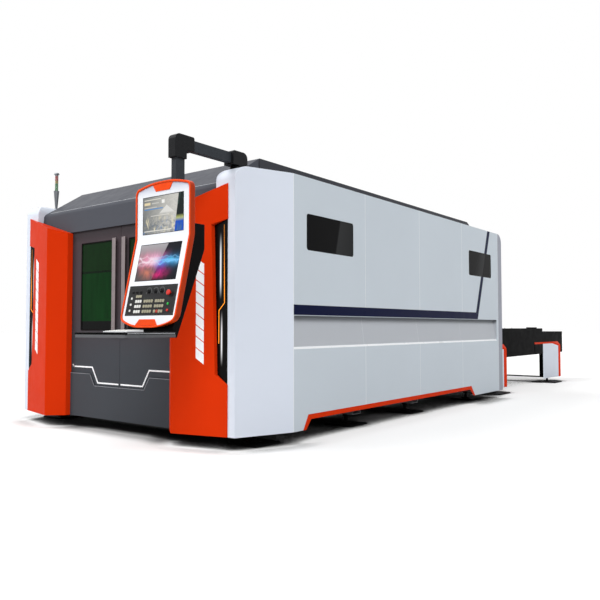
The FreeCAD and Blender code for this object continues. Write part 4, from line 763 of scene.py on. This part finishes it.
# ---------------------------------------------------------------- repeats
def repeat_tree(name, labels, places):
    """Nodes that set one small shape in many places, and the identifiers of their inputs."""
    tree = bpy.data.node_groups.new(name, "GeometryNodeTree")
    names = {}
    for label, kind in {"Part": "Object", "Finish": "Material", **labels}.items():
        socket = tree.interface.new_socket(label, in_out="INPUT", socket_type="NodeSocket" + kind)
        names[label] = socket.identifier
    tree.interface.new_socket("Shape", in_out="OUTPUT", socket_type="NodeSocketGeometry")
    given = tree.nodes.new("NodeGroupInput").outputs
    index = tree.nodes.new("GeometryNodeInputIndex").outputs[0]

    def calculated(operation, *values):
        return sum_in(tree, operation, *values)

    count, place, turn = places(calculated, given, index)
    place, turn = (add_node(tree, "ShaderNodeCombineXYZ", values).outputs[0] for values in (place, turn))
    points = add_node(tree, "GeometryNodePoints", {"Count": count, "Position": place})
    part = add_node(tree, "GeometryNodeObjectInfo", {"Object": given["Part"]})
    spots = {"Points": points.outputs[0], "Instance": part.outputs["Geometry"], "Rotation": turn}
    copies = add_node(tree, "GeometryNodeInstanceOnPoints", spots)
    real = add_node(tree, "GeometryNodeRealizeInstances", [copies.outputs[0]])
    finish = add_node(tree, "GeometryNodeSetMaterial", {"Geometry": real.outputs[0], "Material": given["Finish"]})
    add_node(tree, "NodeGroupOutput", [finish.outputs[0]])
    return tree, names


def row_places(calculated, given, index):
    """Rows and columns about the middle."""
    columns, rows = given["Columns"], given["Rows"]

    def centred(number, count, pitch):
        half = calculated("MULTIPLY", calculated("SUBTRACT", count, 1.0), 0.5)
        return calculated("MULTIPLY", calculated("SUBTRACT", number, half), pitch)

    column = calculated("MODULO", index, columns)
    row = calculated("FLOOR", calculated("DIVIDE", calculated("ADD", index, 0.5), columns))
    place = (centred(column, columns, given["Column pitch"]), centred(row, rows, given["Row pitch"]))
    return calculated("MULTIPLY", columns, rows), place, ()


def circle_places(calculated, given, index):
    """Places round a circle, each copy turned with its place."""
    angle = calculated("MULTIPLY_ADD", index, given["Step angle"], given["First angle"])
    place = [calculated("MULTIPLY", given["Radius"], calculated(side, angle)) for side in ("COSINE", "SINE")]
    return given["Count"], place, (0.0, 0.0, angle)


ROWS = repeat_tree("rows_of_parts", {
    "Columns": "Int", "Rows": "Int", "Column pitch": "Float", "Row pitch": "Float"}, row_places)
CIRCLE = repeat_tree("parts_round_a_circle", {
    "Count": "Int", "Radius": "Float", "First angle": "Float", "Step angle": "Float"}, circle_places)


def repeated(layout, part, finish, **values):
    """Plain mesh that a tree makes from one part mesh."""
    tree, inputs = layout
    part_object = linked("part", part)
    holder = linked("holder", bpy.data.meshes.new("holder"))
    modifier = holder.modifiers.new("repeat", "NODES")
    modifier.node_group = tree
    modifier[inputs["Part"]] = part_object
    modifier[inputs["Finish"]] = FINISH[finish]
    for label, value in values.items():
        modifier[inputs[label.replace("_", " ")]] = value
    mesh = baked(holder)
    bpy.data.objects.remove(holder)
    bpy.data.objects.remove(part_object)
    return mesh


def in_rows(part, finish, columns, rows, column_pitch, row_pitch):
    return repeated(ROWS, part, finish, Columns=columns, Rows=rows, Column_pitch=column_pitch, Row_pitch=row_pitch)


def screws_on(face, columns, rows, column_pitch, row_pitch, radius=0.006):
    """Button heads with a hexagon socket, in rows on a face."""
    profile = ((0.0, 0.12), (0.42, 0.12), (0.46, 0.62), (0.74, 0.54), (1.0, 0.16), (1.0, -0.1))
    head = turned_shape([(radius * wide, radius * high) for wide, high in profile], 12)
    return on(face, in_rows(head, "screw", columns, rows, column_pitch, row_pitch))


def key_cap(width, height, lift):
    mesh = extruded(rounded_box(width, height, min(width, height) * 0.2, 2), -0.0005, lift)
    return with_round_edges(mesh, lift * 0.35)


# ---------------------------------------------------------------- CAD nodes
NODE_FINISHES = (  # finish, rounding in millimetres (None leaves the node as it is), nodes
    ("bed", 3.0, "machine_bed"), ("cast", 1.2, "levelling_feet"), ("bed", None, "housing_frame"),
    ("panel", 1.6, "side_panels_right side_panels_left"),
    ("white", 2.5, "corner_cabinet_right corner_cabinet_left"), ("dark", 1.2, "side_windows"),
    ("orange", 1.0, "sill_trims"), ("orange", 1.6, "front_column_right front_column_left"),
    ("light_lens", 1.0, "column_light_boxes"), ("canopy", 5.0, "front_canopy"), ("roof", 1.6, "roof_cover"),
    ("wall", 1.6, "rear_wall"), ("skirt", 1.0, "front_skirt"), ("black", 0.6, "door_tracks"),
    ("door", 1.6, "door_leaf_right door_leaf_left"), ("green", None, "door_glass_right door_glass_left"),
    ("handle", 2.0, "door_handle_right door_handle_left"), ("tower", 0.6, "tower_post"),
    ("lens_green", 1.0, "tower_green_lamp"), ("lens_amber", 1.0, "tower_amber_lamp"),
    ("lens_red", 1.0, "tower_red_lamp"), ("arm", 1.5, "arm_base"), ("arm", 4.0, "arm_block"),
    ("tube", 3.0, "arm_tube"), ("arm", 5.0, "arm_elbow"), ("tube", 3.0, "drop_tube"),
    ("shell", 4.0, "pendant_shell"), ("plate", 0.8, "pendant_face"), ("page", None, "upper_screen"),
    ("waves", None, "lower_screen"), ("keys", 0.5, "key_panel"), ("housing", 4.0, "pendant_housing"),
    ("tray", 3.0, "pendant_tray"), ("keyboard", 2.0, "keyboard"), ("cap_red", 1.5, "emergency_stop"),
    ("cap_green", 1.0, "start_button"), ("cap_red", 1.0, "stop_button"),
    ("knob", 0.6, "override_knob_1 override_knob_2 override_knob_3"), ("steel", None, "x_guides"),
    ("alloy", 3.0, "gantry_beam"), ("alloy", 2.0, "head_carriage"), ("bed", 2.0, "z_slide"),
    ("head", 1.5, "cutting_head"), ("pallet", None, "upper_pallet lower_pallet"),
    ("wheel", 0.8, "upper_wheels_front upper_wheels_rear lower_wheels_front lower_wheels_rear"),
    ("table", 2.5, "exchange_frame"), ("white", 2.0, "leg_covers"), ("orange", 2.0, "leg_rims"),
)


def dress_nodes():
    """Give every CAD node its finish, and round its folds by the table's millimetres."""
    plan = [(node, finish, rounded) for finish, rounded, nodes in NODE_FINISHES for node in nodes.split()]
    missing = set(frame["nodes"]) - {node for node, _, _ in plan}
    if missing:
        raise ValueError("no finish for " + ", ".join(sorted(missing)))
    for node, finish, rounded in plan:
        dressed(node, finish, rounded)


# ---------------------------------------------------------------- front of the machine
def column_face(side):
    """Wide outer facet of a front column, with its origin low on its outer edge."""
    edge = Vector((COLUMN_FRONT, SIDE[side] * 1.371, 0.0))
    ridge = Vector((SEAM - 0.612, SIDE[side] * 0.877, 0.0))
    return Face(edge, (ridge - edge) * SIDE[side], (0, 0, 1))


def column_marks(side):
    """Nine equal slanted white bars stacked up the column, with hairline gaps between them."""
    low_end, high_end, lift = (0.640, 1.420, (0.0, 0.048)) if side == "right" else (0.665, 1.560, (0.048, 0.0))
    near, far, gap, count = 0.206, 0.278, 0.0085, 9
    step = (high_end - low_end) / count
    shapes = []
    for number in range(count):
        low, high = low_end + number * step, low_end + (number + 1) * step - gap
        corners = [(near, low + lift[0]), (far, low + lift[1]), (far, high + lift[1]), (near, high + lift[0])]
        corners = [(SIDE[side] * across, up) for across, up in corners]
        shapes.append(laid(column_face(side), corners, 0.0, 0.8 * MM))
    piece("column_marks_" + side, joined(shapes), "strip")


def light_line(side):
    """Amber light line over the column's lights."""
    path = [(1.334, 1.706), (1.339, 1.108), (1.281, 1.052), (1.281, 0.800)]
    outline = ribbon([(-SIDE[side] * across, up) for across, up in path], 0.0046)
    piece("light_line_" + side, laid(front_face(SEAM - 0.492), outline, -0.0005, 0.003, 0.8), "led_amber")


def seam_beads(side):
    """White sealing beads down the seams of the side panels, following the groove's folds."""
    half, depth, thick = HALF_WIDTH, 0.0035, 0.0016
    groove = [(half, 1.018), (half - 0.050, 1.018), (half - 0.018, 0.766), (half, 0.750)]
    shapes = []
    for place, low, folds in (
        (-0.0015, 0.101, []), (1.0705, 0.222, groove), (2.1425, 0.222, groove), (3.2145, 0.222, groove),
        (4.3495, 0.101, []),
    ):
        outer = [(across - BITE, up) for across, up in [(half, 2.149), *folds, (half, low)]]
        inner = [(across - depth, up) for across, up in outer]
        if folds:
            inner[1:3] = [(across - depth, up + depth) for across, up in outer[1:3]]
        face = Face((SEAM + place, 0.0, 0.0), (0, SIDE[side], 0), (0, 0, 1))
        shapes.append(laid(face, outer + inner[::-1], -thick, thick))
    piece("seam_beads_" + side, joined(shapes), "bead")


def groove_ledge_highlight(side):
    """Painted highlight: a bright white strip on the folded ledge along the foot of the groove."""
    # The white strip stands for light caught by the ledge, as painted highlight.
    face = Face((SEAM, 0.0, 0.0), (0, SIDE[side], 0), (0, 0, 1))
    outline = [(1.6016, 0.7675), (1.6196, 0.7515), (1.6196, 0.7495), (1.6016, 0.7655)]
    start, stop = sorted((face.out.x * 0.001, face.out.x * 4.290))
    piece("groove_ledge_" + side, laid(face, outline, start, stop, 0.5, 1), "strip")


def slot_return(side):
    """Orange flange that lines the column's slot back to the light plate."""
    outer = [(1.3705, 1.7470), (1.2300, 1.7130), (1.2650, 0.5630), (1.3705, 0.4915)]
    inner = [(1.3705, 1.7450), (1.2320, 1.7113), (1.2670, 0.5643), (1.3705, 0.4940)]

    def loop(points, back):
        fronts = (COLUMN_FRONT - (1.371 - across) * 0.115 / 0.494 + 0.0012 for across, up in points)
        return [(SLOT_BACK if back else x, SIDE[side] * across, up) for x, (across, up) in zip(fronts, points)]

    loops = [loop(outer, False), loop(inner, False), loop(inner, True), loop(outer, True)]
    mesh = mesh_from(faces_between(loops, False), "slot_return")
    piece("slot_return_" + side, with_round_edges(mesh, 0.4 * MM, 1), "orange")


def door_details(side):
    """Window gasket, folded white strip and edge seal on one sliding door."""
    sign, body, face = SIDE[side], side + "_door", front_face(SEAM - 0.428)
    near, far, low, high = 0.123, 0.579, 0.905, 1.706
    width, height = far - near, high - low
    ring = ring_between(rounded_box(width + 0.018, height + 0.018, 0.012),
                        rounded_box(width - 0.004, height - 0.004, 0.006), -BITE, 0.003)
    ring = with_round_edges(on(face.moved(-sign * (near + far) / 2, (low + high) / 2), ring), 1.0 * MM)
    piece("window_gasket_" + side, ring, "rubber", body)
    path = [(0.706, 0.558), (0.400, 0.558), (0.314, 0.419), (0.015, 0.419)]
    tip = [(0.706, 0.551), (0.706, 0.580), (0.676, 0.563), (0.676, 0.551)]
    path, tip = ([(-sign * across, up) for across, up in points] for points in (path, tip))
    strips = [laid(face, outline, -BITE, 0.003, 0.6) for outline in (ribbon(path, 0.013), tip)]
    piece("door_strip_" + side, joined(strips), "strip", body)
    seal = with_round_edges(extruded(rectangle(-0.0017, 0.300, 0.0001, 1.872), -0.030, -0.004), 0.0)
    piece("door_edge_seal_" + side, on(face.moved(0.0 if sign > 0 else 0.0016), seal), "rubber", body)


def front_highlight_lines():
    """Painted highlights: a bright line along the canopy's fold and a light line on the edge of the skirt's stepped
    top.
    """
    foot, top = Vector((SEAM - 0.425, 0.0, 2.050)), Vector((SEAM + 0.013, 0.0, ROOF_TOP))
    slope = (top - foot).normalized()
    outline = [(-1.190, 0.0015), (-1.150, 0.0), (1.190, 0.0), (1.190, 0.0052), (-1.150, 0.0052)]
    line = laid(Face(foot + slope * 0.0285, (0, -1, 0), slope), outline, -BITE, 0.0007)
    piece("canopy_fold_line", line, "fold")
    # Painted highlight on the skirt's stepped top edge.
    path = [(-0.719, 0.4965), (-0.4175, 0.4965), (-0.3485, 0.3905)]
    path += [(-across, up) for across, up in reversed(path)]
    line = laid(front_face(SEAM - 0.4435), ribbon(path, 0.0036), -BITE, 0.0007)
    piece("skirt_edge_line", line, "trim")


# ---------------------------------------------------------------- pendant
def pendant_keys():
    """Key groups, switches, dial scales, indicator lights and borders on the key panel."""
    place, _ = touched("key_panel", (AHEAD, PENDANT_MIDDLE - 0.02, 1.10), (1, 0, 0))
    origin = place + PANEL_UP * ((START_ROW - place.z) / PANEL_UP.z)
    face = Face((origin.x, PENDANT_MIDDLE, origin.z), (0, -1, 0), PANEL_UP)
    rise = math.cos(PANEL_TILT)

    def at(y, z, out=0.0):
        return face.moved(PENDANT_MIDDLE - y, (z - START_ROW) / rise, out)

    def block_of(finish, y_left, y_right, z_low, z_high, columns, rows):
        width, height = (y_left - y_right) / columns, (z_high - z_low) / rise / rows
        keys = in_rows(key_cap(width * 0.80, height * 0.58, 0.0028), finish, columns, rows, width, height)
        return on(at((y_left + y_right) / 2, (z_low + z_high) / 2), keys)

    for name, finish, blocks in (
        ("white_keys", "key_white", (
            (-1.163, -1.233, 1.0135, 1.1185, 3, 3), (-1.113, -1.132, 1.109, 1.135, 1, 1),
            (-1.113, -1.132, 1.067, 1.093, 1, 1), (-1.113, -1.132, 1.025, 1.051, 1, 1))),
        ("beige_keys", "key_beige", (
            (-1.163, -1.225, 1.1190, 1.1510, 3, 1), (-1.252, -1.349, 1.0135, 1.1185, 4, 3),
            (-1.368, -1.464, 1.0485, 1.1185, 4, 2), (-1.416, -1.464, 1.0135, 1.0485, 2, 1),
            (-1.368, -1.392, 1.0135, 1.0485, 1, 1))),
        ("red_key", "key_red", ((-1.392, -1.416, 1.0135, 1.0485, 1, 1),)),
    ):
        piece(name, joined([block_of(finish, *block) for block in blocks]), finish, "pendant")
    switch = turned_shape([
        (0.0, 0.011), (0.0045, 0.011), (0.0055, 0.0095), (0.0055, 0.005), (0.0095, 0.0045), (0.0105, 0.003),
        (0.0105, -0.0005),
    ], 24)
    piece("small_switches", on(at(-1.166, 1.165), in_rows(switch, "knob", 3, 1, 0.041, 0.0)), "knob", "pendant")
    tick = extruded(rectangle(-0.0022, -0.0005, 0.0022, 0.0005), 0.0, 0.0004)
    horseshoe = arc(0.0290, range(-40, 221, 10)) + arc(0.0240, range(220, -41, -10))
    scales = []
    for y, z in ((-1.290, 1.167), (-1.358, 1.167), (-1.421, 1.168)):
        ticks = repeated(CIRCLE, tick, "ink", Count=11, Radius=0.0205,
                         First_angle=math.radians(-45), Step_angle=math.radians(27))
        scales += [on(at(y, z, 0.0001), mesh) for mesh in (ticks, extruded(horseshoe, -BITE, 0.0004))]
    piece("dial_scales", joined(scales), "ink", "pendant")
    border = ring_between(rounded_box(0.470, 0.1915, 0.006), rounded_box(0.4684, 0.1899, 0.0052), -BITE, 0.0003)
    piece("panel_border", on(at(PENDANT_MIDDLE, 1.1045), border), "ink", "pendant")
    light = turned_shape([(0.0, 0.0022), (0.0014, 0.0018), (0.002, 0.0008), (0.002, -0.0004)], 16)
    lights = in_rows(light, "lens_green", 4, 1, 0.0275, 0.0)
    piece("indicator_lights", on(at(-1.3055, 1.121), lights), "lens_green", "pendant")
    collar = ring_between(arc(0.027, range(0, 360, 9)), arc(0.0135, range(0, 360, 9)), -BITE, 0.0012)
    piece("stop_collar", on(at(-1.509, 1.151), with_round_edges(collar, 0.4 * MM)), "knob", "pendant")


def pendant_badges():
    """Bare orange badge plates at the top and the foot of the pendant's white face."""
    top, low = (touched("pendant_face", (AHEAD, PENDANT_MIDDLE, z), (1, 0, 0))[0] for z in (1.870, 0.960))
    upper = [(-0.072, 1.868), (0.072, 1.868), (0.106, 1.921), (-0.106, 1.921)]
    lower = [(-0.115, -0.026), (0.115, -0.026), (0.080, 0.018), (-0.080, 0.018)]
    shapes = [laid(Face(origin, (0, -1, 0), up), outline, -BITE, 0.003, 1.2) for origin, up, outline in (
        ((top.x, PENDANT_MIDDLE, 0.0), (0, 0, 1), upper), ((low.x, PENDANT_MIDDLE, low.z), PANEL_UP, lower))]
    piece("pendant_badges", joined(shapes), "shell", "pendant")


def pendant_back():
    """Cover screws and vents on the back of the pendant's housing."""
    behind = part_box("pendant_housing")[1].x + 1.0

    def spot(y, z):
        return face_at("pendant_housing", (behind, PENDANT_MIDDLE + y, z), (-1, 0, 0))

    screws = [screws_on(spot(y, z), 1, 1, 0.0, 0.0, 0.005) for z in (0.93, 1.15, 1.37) for y in (-0.20, 0.20)]
    piece("housing_screws", joined(screws), "screw", "pendant")
    slot = with_round_edges(extruded(rounded_box(0.150, 0.0065, 0.003, 3), -0.0004, 0.0012), 0.4 * MM, 1)
    piece("housing_vents", on(spot(0.0, 1.26), in_rows(slot, "rubber", 2, 9, 0.180, 0.0145)), "rubber", "pendant")


def tray_details():
    """Keys of the thin keyboard, and the tray's grey rim with a painted highlight along its lip."""
    low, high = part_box("keyboard")
    front, centre, back = (touched("keyboard", (x, (low.y + high.y) / 2, 2.0), (0, 0, -1))[0]
                           for x in (low.x + 0.03, (low.x + high.x) / 2, high.x - 0.03))
    face = Face(centre, (0, -1, 0), back - front)
    cap = key_cap(0.0135, 0.0135, 0.0022)
    shapes = [on(face.moved(up=0.010), in_rows(cap, "key_white", 12, 5, 0.0172, 0.0178)),
              on(face.moved(up=-0.0523), key_cap(0.085, 0.0135, 0.0022))]
    for across in (-0.079, 0.079):
        shapes.append(on(face.moved(across, -0.0523), in_rows(cap, "key_white", 3, 1, 0.0172, 0.0)))
    piece("keyboard_keys", joined(shapes), "key_white", "pendant")

    low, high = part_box("pendant_tray")
    long, wide, tall = high - low
    face = top_face((low.x + high.x) / 2, (low.y + high.y) / 2, low.z)
    rim = ring_between(rounded_box(long - 0.001, wide - 0.001, 0.014), rounded_box(long - 0.030, wide - 0.030, 0.004),
                       0.0005, tall + 0.0003)
    piece("tray_rim", on(face, with_round_edges(rim, 3.0 * MM, 3)), "rail", "pendant")
    # Painted highlight: a bright band round the tray's lip.
    lip = ring_between(rounded_box(long, wide, 0.0145), rounded_box(long - 0.003, wide - 0.003, 0.013),
                       tall - 0.0105, tall - 0.0045)
    piece("tray_bright_lip", on(face, with_round_edges(lip, 0.4 * MM, 1)), "fold", "pendant")


# ---------------------------------------------------------------- pallets, roof and rear
def toothed_slat(half, low, high, teeth, depth, thick):
    """Support slat with flat-tipped teeth along its top, standing across the pallet."""
    pitch = 2 * half / teeth
    outline = [(-half, low), (half, low)]
    for tooth in range(teeth):
        right = half - tooth * pitch
        outline += [(right, high - depth), (right - pitch * 0.42, high), (right - pitch * 0.58, high)]
    outline.append((-half, high - depth))
    return on(Face((0, 0, 0), (0, 1, 0), (0, 0, 1)), extruded(outline, -thick / 2, thick / 2))


def loose_parts(work):
    """Vertices of one separate shell after another."""
    left_over = set(work.verts)
    while left_over:
        island, edge = [], [left_over.pop()]
        while edge:
            vert = edge.pop()
            island.append(vert)
            others = left_over.intersection(link.other_vert(vert) for link in vert.link_edges)
            left_over -= others
            edge += others
        yield island


def pallet(level):
    """Carrier frame of a pallet, with its slats cut afresh in finer teeth than the solid has."""
    node = level + "_pallet"
    low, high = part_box(node)
    middle, slat_limit = (low.x + high.x) / 2, 0.006
    work = bmesh.new()
    work.from_mesh(node_mesh(node))
    for island in loose_parts(work):
        across = [vert.co.x for vert in island]
        if max(across) - min(across) < slat_limit:
            bmesh.ops.delete(work, geom=island, context="VERTS")
    carrier = with_round_edges(mesh_from(work, node + "_frame", False), 0.0)
    piece(node + "_frame", carrier, "pallet", body_of[node], slot_of[node], [node])
    slat = toothed_slat(0.7995, low.z + 0.030, low.z + 0.145, 64, 0.030, 0.004)
    rows = in_rows(slat, "slats", 20, 1, 0.1525, 0.0)
    rows.transform(Matrix.Translation((middle, 0.0, 0.0)))
    piece(node + "_slats", shaded(rows), "slats", body_of[node], slot_of[node], [node])
    bolts = [screws_on(top_face(middle, sign * 0.825, low.z + 0.100), 15, 1, 0.21, 0.0, 0.009) for sign in (-1, 1)]
    piece(node + "_bolts", joined(bolts), "screw", body_of[node])


def roof_details():
    """Cover strips over the roof's joints and the screws that hold the sheets."""
    strips, screws = [], []
    for x in (-2.20, -1.13, -0.06):
        strip = with_round_edges(extruded(rounded_box(0.044, 2.490, 0.004, 2), -0.0005, 0.0025), 0.8 * MM, 1)
        strips.append(on(top_face(x, 0, ROOF_TOP), strip))
        screws += [screws_on(top_face(x + step, 0, ROOF_TOP + 0.0025), 1, 13, 0.0, 0.20) for step in (-0.014, 0.014)]
    screws += [screws_on(top_face(-1.165, sign * 1.222, ROOF_TOP), 20, 1, 0.2138, 0.0) for sign in (-1, 1)]
    slope = face_at("roof_cover", (1.08, 0.0, 3.0), (0, 0, -1), (0, 1, 0))
    screws.append(screws_on(slope, 13, 1, 0.19, 0.0))
    piece("roof_joint_strips", joined(strips), "roof")
    piece("roof_screws", joined(screws), "screw")


def rear_details():
    """Joints, screws, louvred vents and the edge guard round the pallet opening of the rear wall."""
    face = Face((REAR_WALL, 0.0, 0.0), (0, 1, 0), (0, 0, 1))
    guard = ring_between(rectangle(-0.985, 0.406, 0.985, 0.985), rectangle(-0.963, 0.428, 0.963, 0.963),
                         -0.0005, 0.006)
    piece("opening_edge_guard", on(face, with_round_edges(guard, 1.5 * MM)), "rubber")
    screws = [screws_on(face.moved(up=up), 13, 1, 0.196, 0.0) for up in (2.115, 1.035, 0.140)]
    for across in (-1.212, 1.212):
        screws.append(screws_on(face.moved(across, 1.575), 1, 5, 0.0, 0.216))
        screws.append(screws_on(face.moved(across, 0.587), 1, 4, 0.0, 0.224))
    blade = extruded(rectangle(-0.229, -0.008, 0.229, 0.004), 0.0, 0.0016)
    blade.transform(Matrix.Translation((0, 0, 0.003)) @ Matrix.Rotation(math.radians(-24), 4, "X"))
    frames, blades, backs = [], [], []
    for across in (-0.62, 0.62):
        spot = face.moved(across, 1.585)
        surround = ring_between(rounded_box(0.520, 0.420, 0.018), rounded_box(0.460, 0.360, 0.010), -0.0005, 0.007)
        frames.append(on(spot, with_round_edges(surround, 1.5 * MM)))
        backs.append(on(spot, extruded(rounded_box(0.466, 0.366, 0.010), -0.0004, 0.0008)))
        blades.append(on(spot, in_rows(blade, "wall", 1, 17, 0.0, 0.0208)))
        screws.append(screws_on(spot.moved(out=0.007), 2, 2, 0.490, 0.390, 0.005))
    for name, meshes, finish in (("vent_frames", frames, "wall"), ("vent_blades", blades, "wall"),
                                 ("vent_backs", backs, "black"), ("rear_screws", screws, "screw")):
        piece(name, joined(meshes), finish)
    joint = laid(face, rectangle(-0.0015, 1.040, 0.0015, 2.110), -BITE, 0.0004)
    piece("rear_wall_joint", joint, "rubber")


def table_details():
    """Bolts along the exchange table's beams."""
    bolts = []
    for y in (-1.24, 1.24):
        for start, stop, count in ((1.42, 2.62, 5), (3.10, 4.50, 6)):
            first, normal = touched("exchange_frame", (start, y, 2.0), (0, 0, -1))
            last, _ = touched("exchange_frame", (stop, y, 2.0), (0, 0, -1))
            if abs(first.z - last.z) < 0.002 and normal.z > 0.99:
                face = top_face((start + stop) / 2, y, first.z)
                bolts.append(screws_on(face, count, 1, (stop - start) / (count - 1), 0.0, 0.011))
    piece("table_bolts", joined(bolts), "screw")


# ---------------------------------------------------------------- setting
def stage():
    """Pale floor that darkens close under and within the machine, white surroundings and plain soft lamps."""
    white = (1.0, 1.0, 1.0, 1.0)
    pale = Finish("studio_floor")

    def openness(distance, low, high):
        light = pale.add("ShaderNodeAmbientOcclusion", {"Distance": distance}).outputs["AO"]
        return pale.ramp(light, low, high, True)

    near = pale.times(openness(0.30, 0.56, 0.985), openness(2.5, 0.16, 0.45))
    seen = pale.add("ShaderNodeLightPath").outputs["Is Camera Ray"]
    pale.set(colour=pale.mixed(near, (0.014, 0.014, 0.015, 1.0), (0.62, 0.62, 0.62, 1.0)), glow=white,
             glow_strength=pale.times(seen, pale.spread(near, 0.0, 0.46, 0.0, 1.0)), rough=0.8, shine=0.05)
    mesh, reach = bpy.data.meshes.new("studio_floor"), 90.0
    mesh.from_pydata([(x, y, 0.0) for x, y in rectangle(-reach, -reach, reach, reach)], [], [(0, 1, 2, 3)])
    mesh.materials.append(pale.material)
    linked("studio_floor", mesh)

    world = bpy.data.worlds.new("studio")
    bpy.context.scene.world = world
    world.use_nodes = True
    tree = world.node_tree
    path = tree.nodes.new("ShaderNodeLightPath").outputs
    seen = sum_in(tree, "MAXIMUM", path["Is Camera Ray"], path["Is Glossy Ray"])
    seen = sum_in(tree, "MAXIMUM", seen, path["Is Transmission Ray"])
    level = add_node(tree, "ShaderNodeMapRange", {"Value": seen, "To Min": 0.36, "To Max": 1.0})
    sky = tree.nodes["Background"]
    feed(tree, sky.inputs["Color"], white)
    feed(tree, sky.inputs["Strength"], level.outputs[0])

    for name, direction, strength, spread in (
        ("key_lamp", (-0.60, 0.50, 0.75), 1.75, 30.0), ("fill_lamp", (-0.70, -0.75, 0.85), 1.85, 28.0),
    ):
        data = bpy.data.lights.new(name, "SUN")
        data.energy = strength
        data.angle = math.radians(spread)
        lamp = linked(name, data)
        lamp.rotation_mode = "QUATERNION"
        lamp.rotation_quaternion = Vector(direction).to_track_quat("Z", "Y")


def camera():
    """Camera at the photograph's place."""
    data = bpy.data.cameras.new("camera")
    data.sensor_width = 36.0
    data.lens = 39.73
    data.clip_end = 300.0
    cam = linked("camera", data)
    yaw, pitch, roll = math.radians(37.477), math.radians(2.381), math.radians(0.053)
    ahead = Vector((math.cos(yaw) * math.cos(pitch), math.sin(yaw) * math.cos(pitch), math.sin(pitch)))
    cam.location = (-7.3964, -4.8391, 0.9215)
    cam.rotation_mode = "QUATERNION"
    cam.rotation_quaternion = Matrix.Rotation(roll, 4, ahead).to_quaternion() @ ahead.to_track_quat("-Z", "Y")
    bpy.context.scene.camera = cam


camera()
stage()
bpy.context.scene.view_settings.view_transform = "Standard"
dress_nodes()
for side in SIDE:
    for detail in (column_marks, light_line, seam_beads, groove_ledge_highlight, slot_return, door_details):
        detail(side)
front_highlight_lines()
pendant_keys()
pendant_badges()
pendant_back()
tray_details()
for level in ("upper", "lower"):
    pallet(level)
roof_details()
rear_details()
table_details()
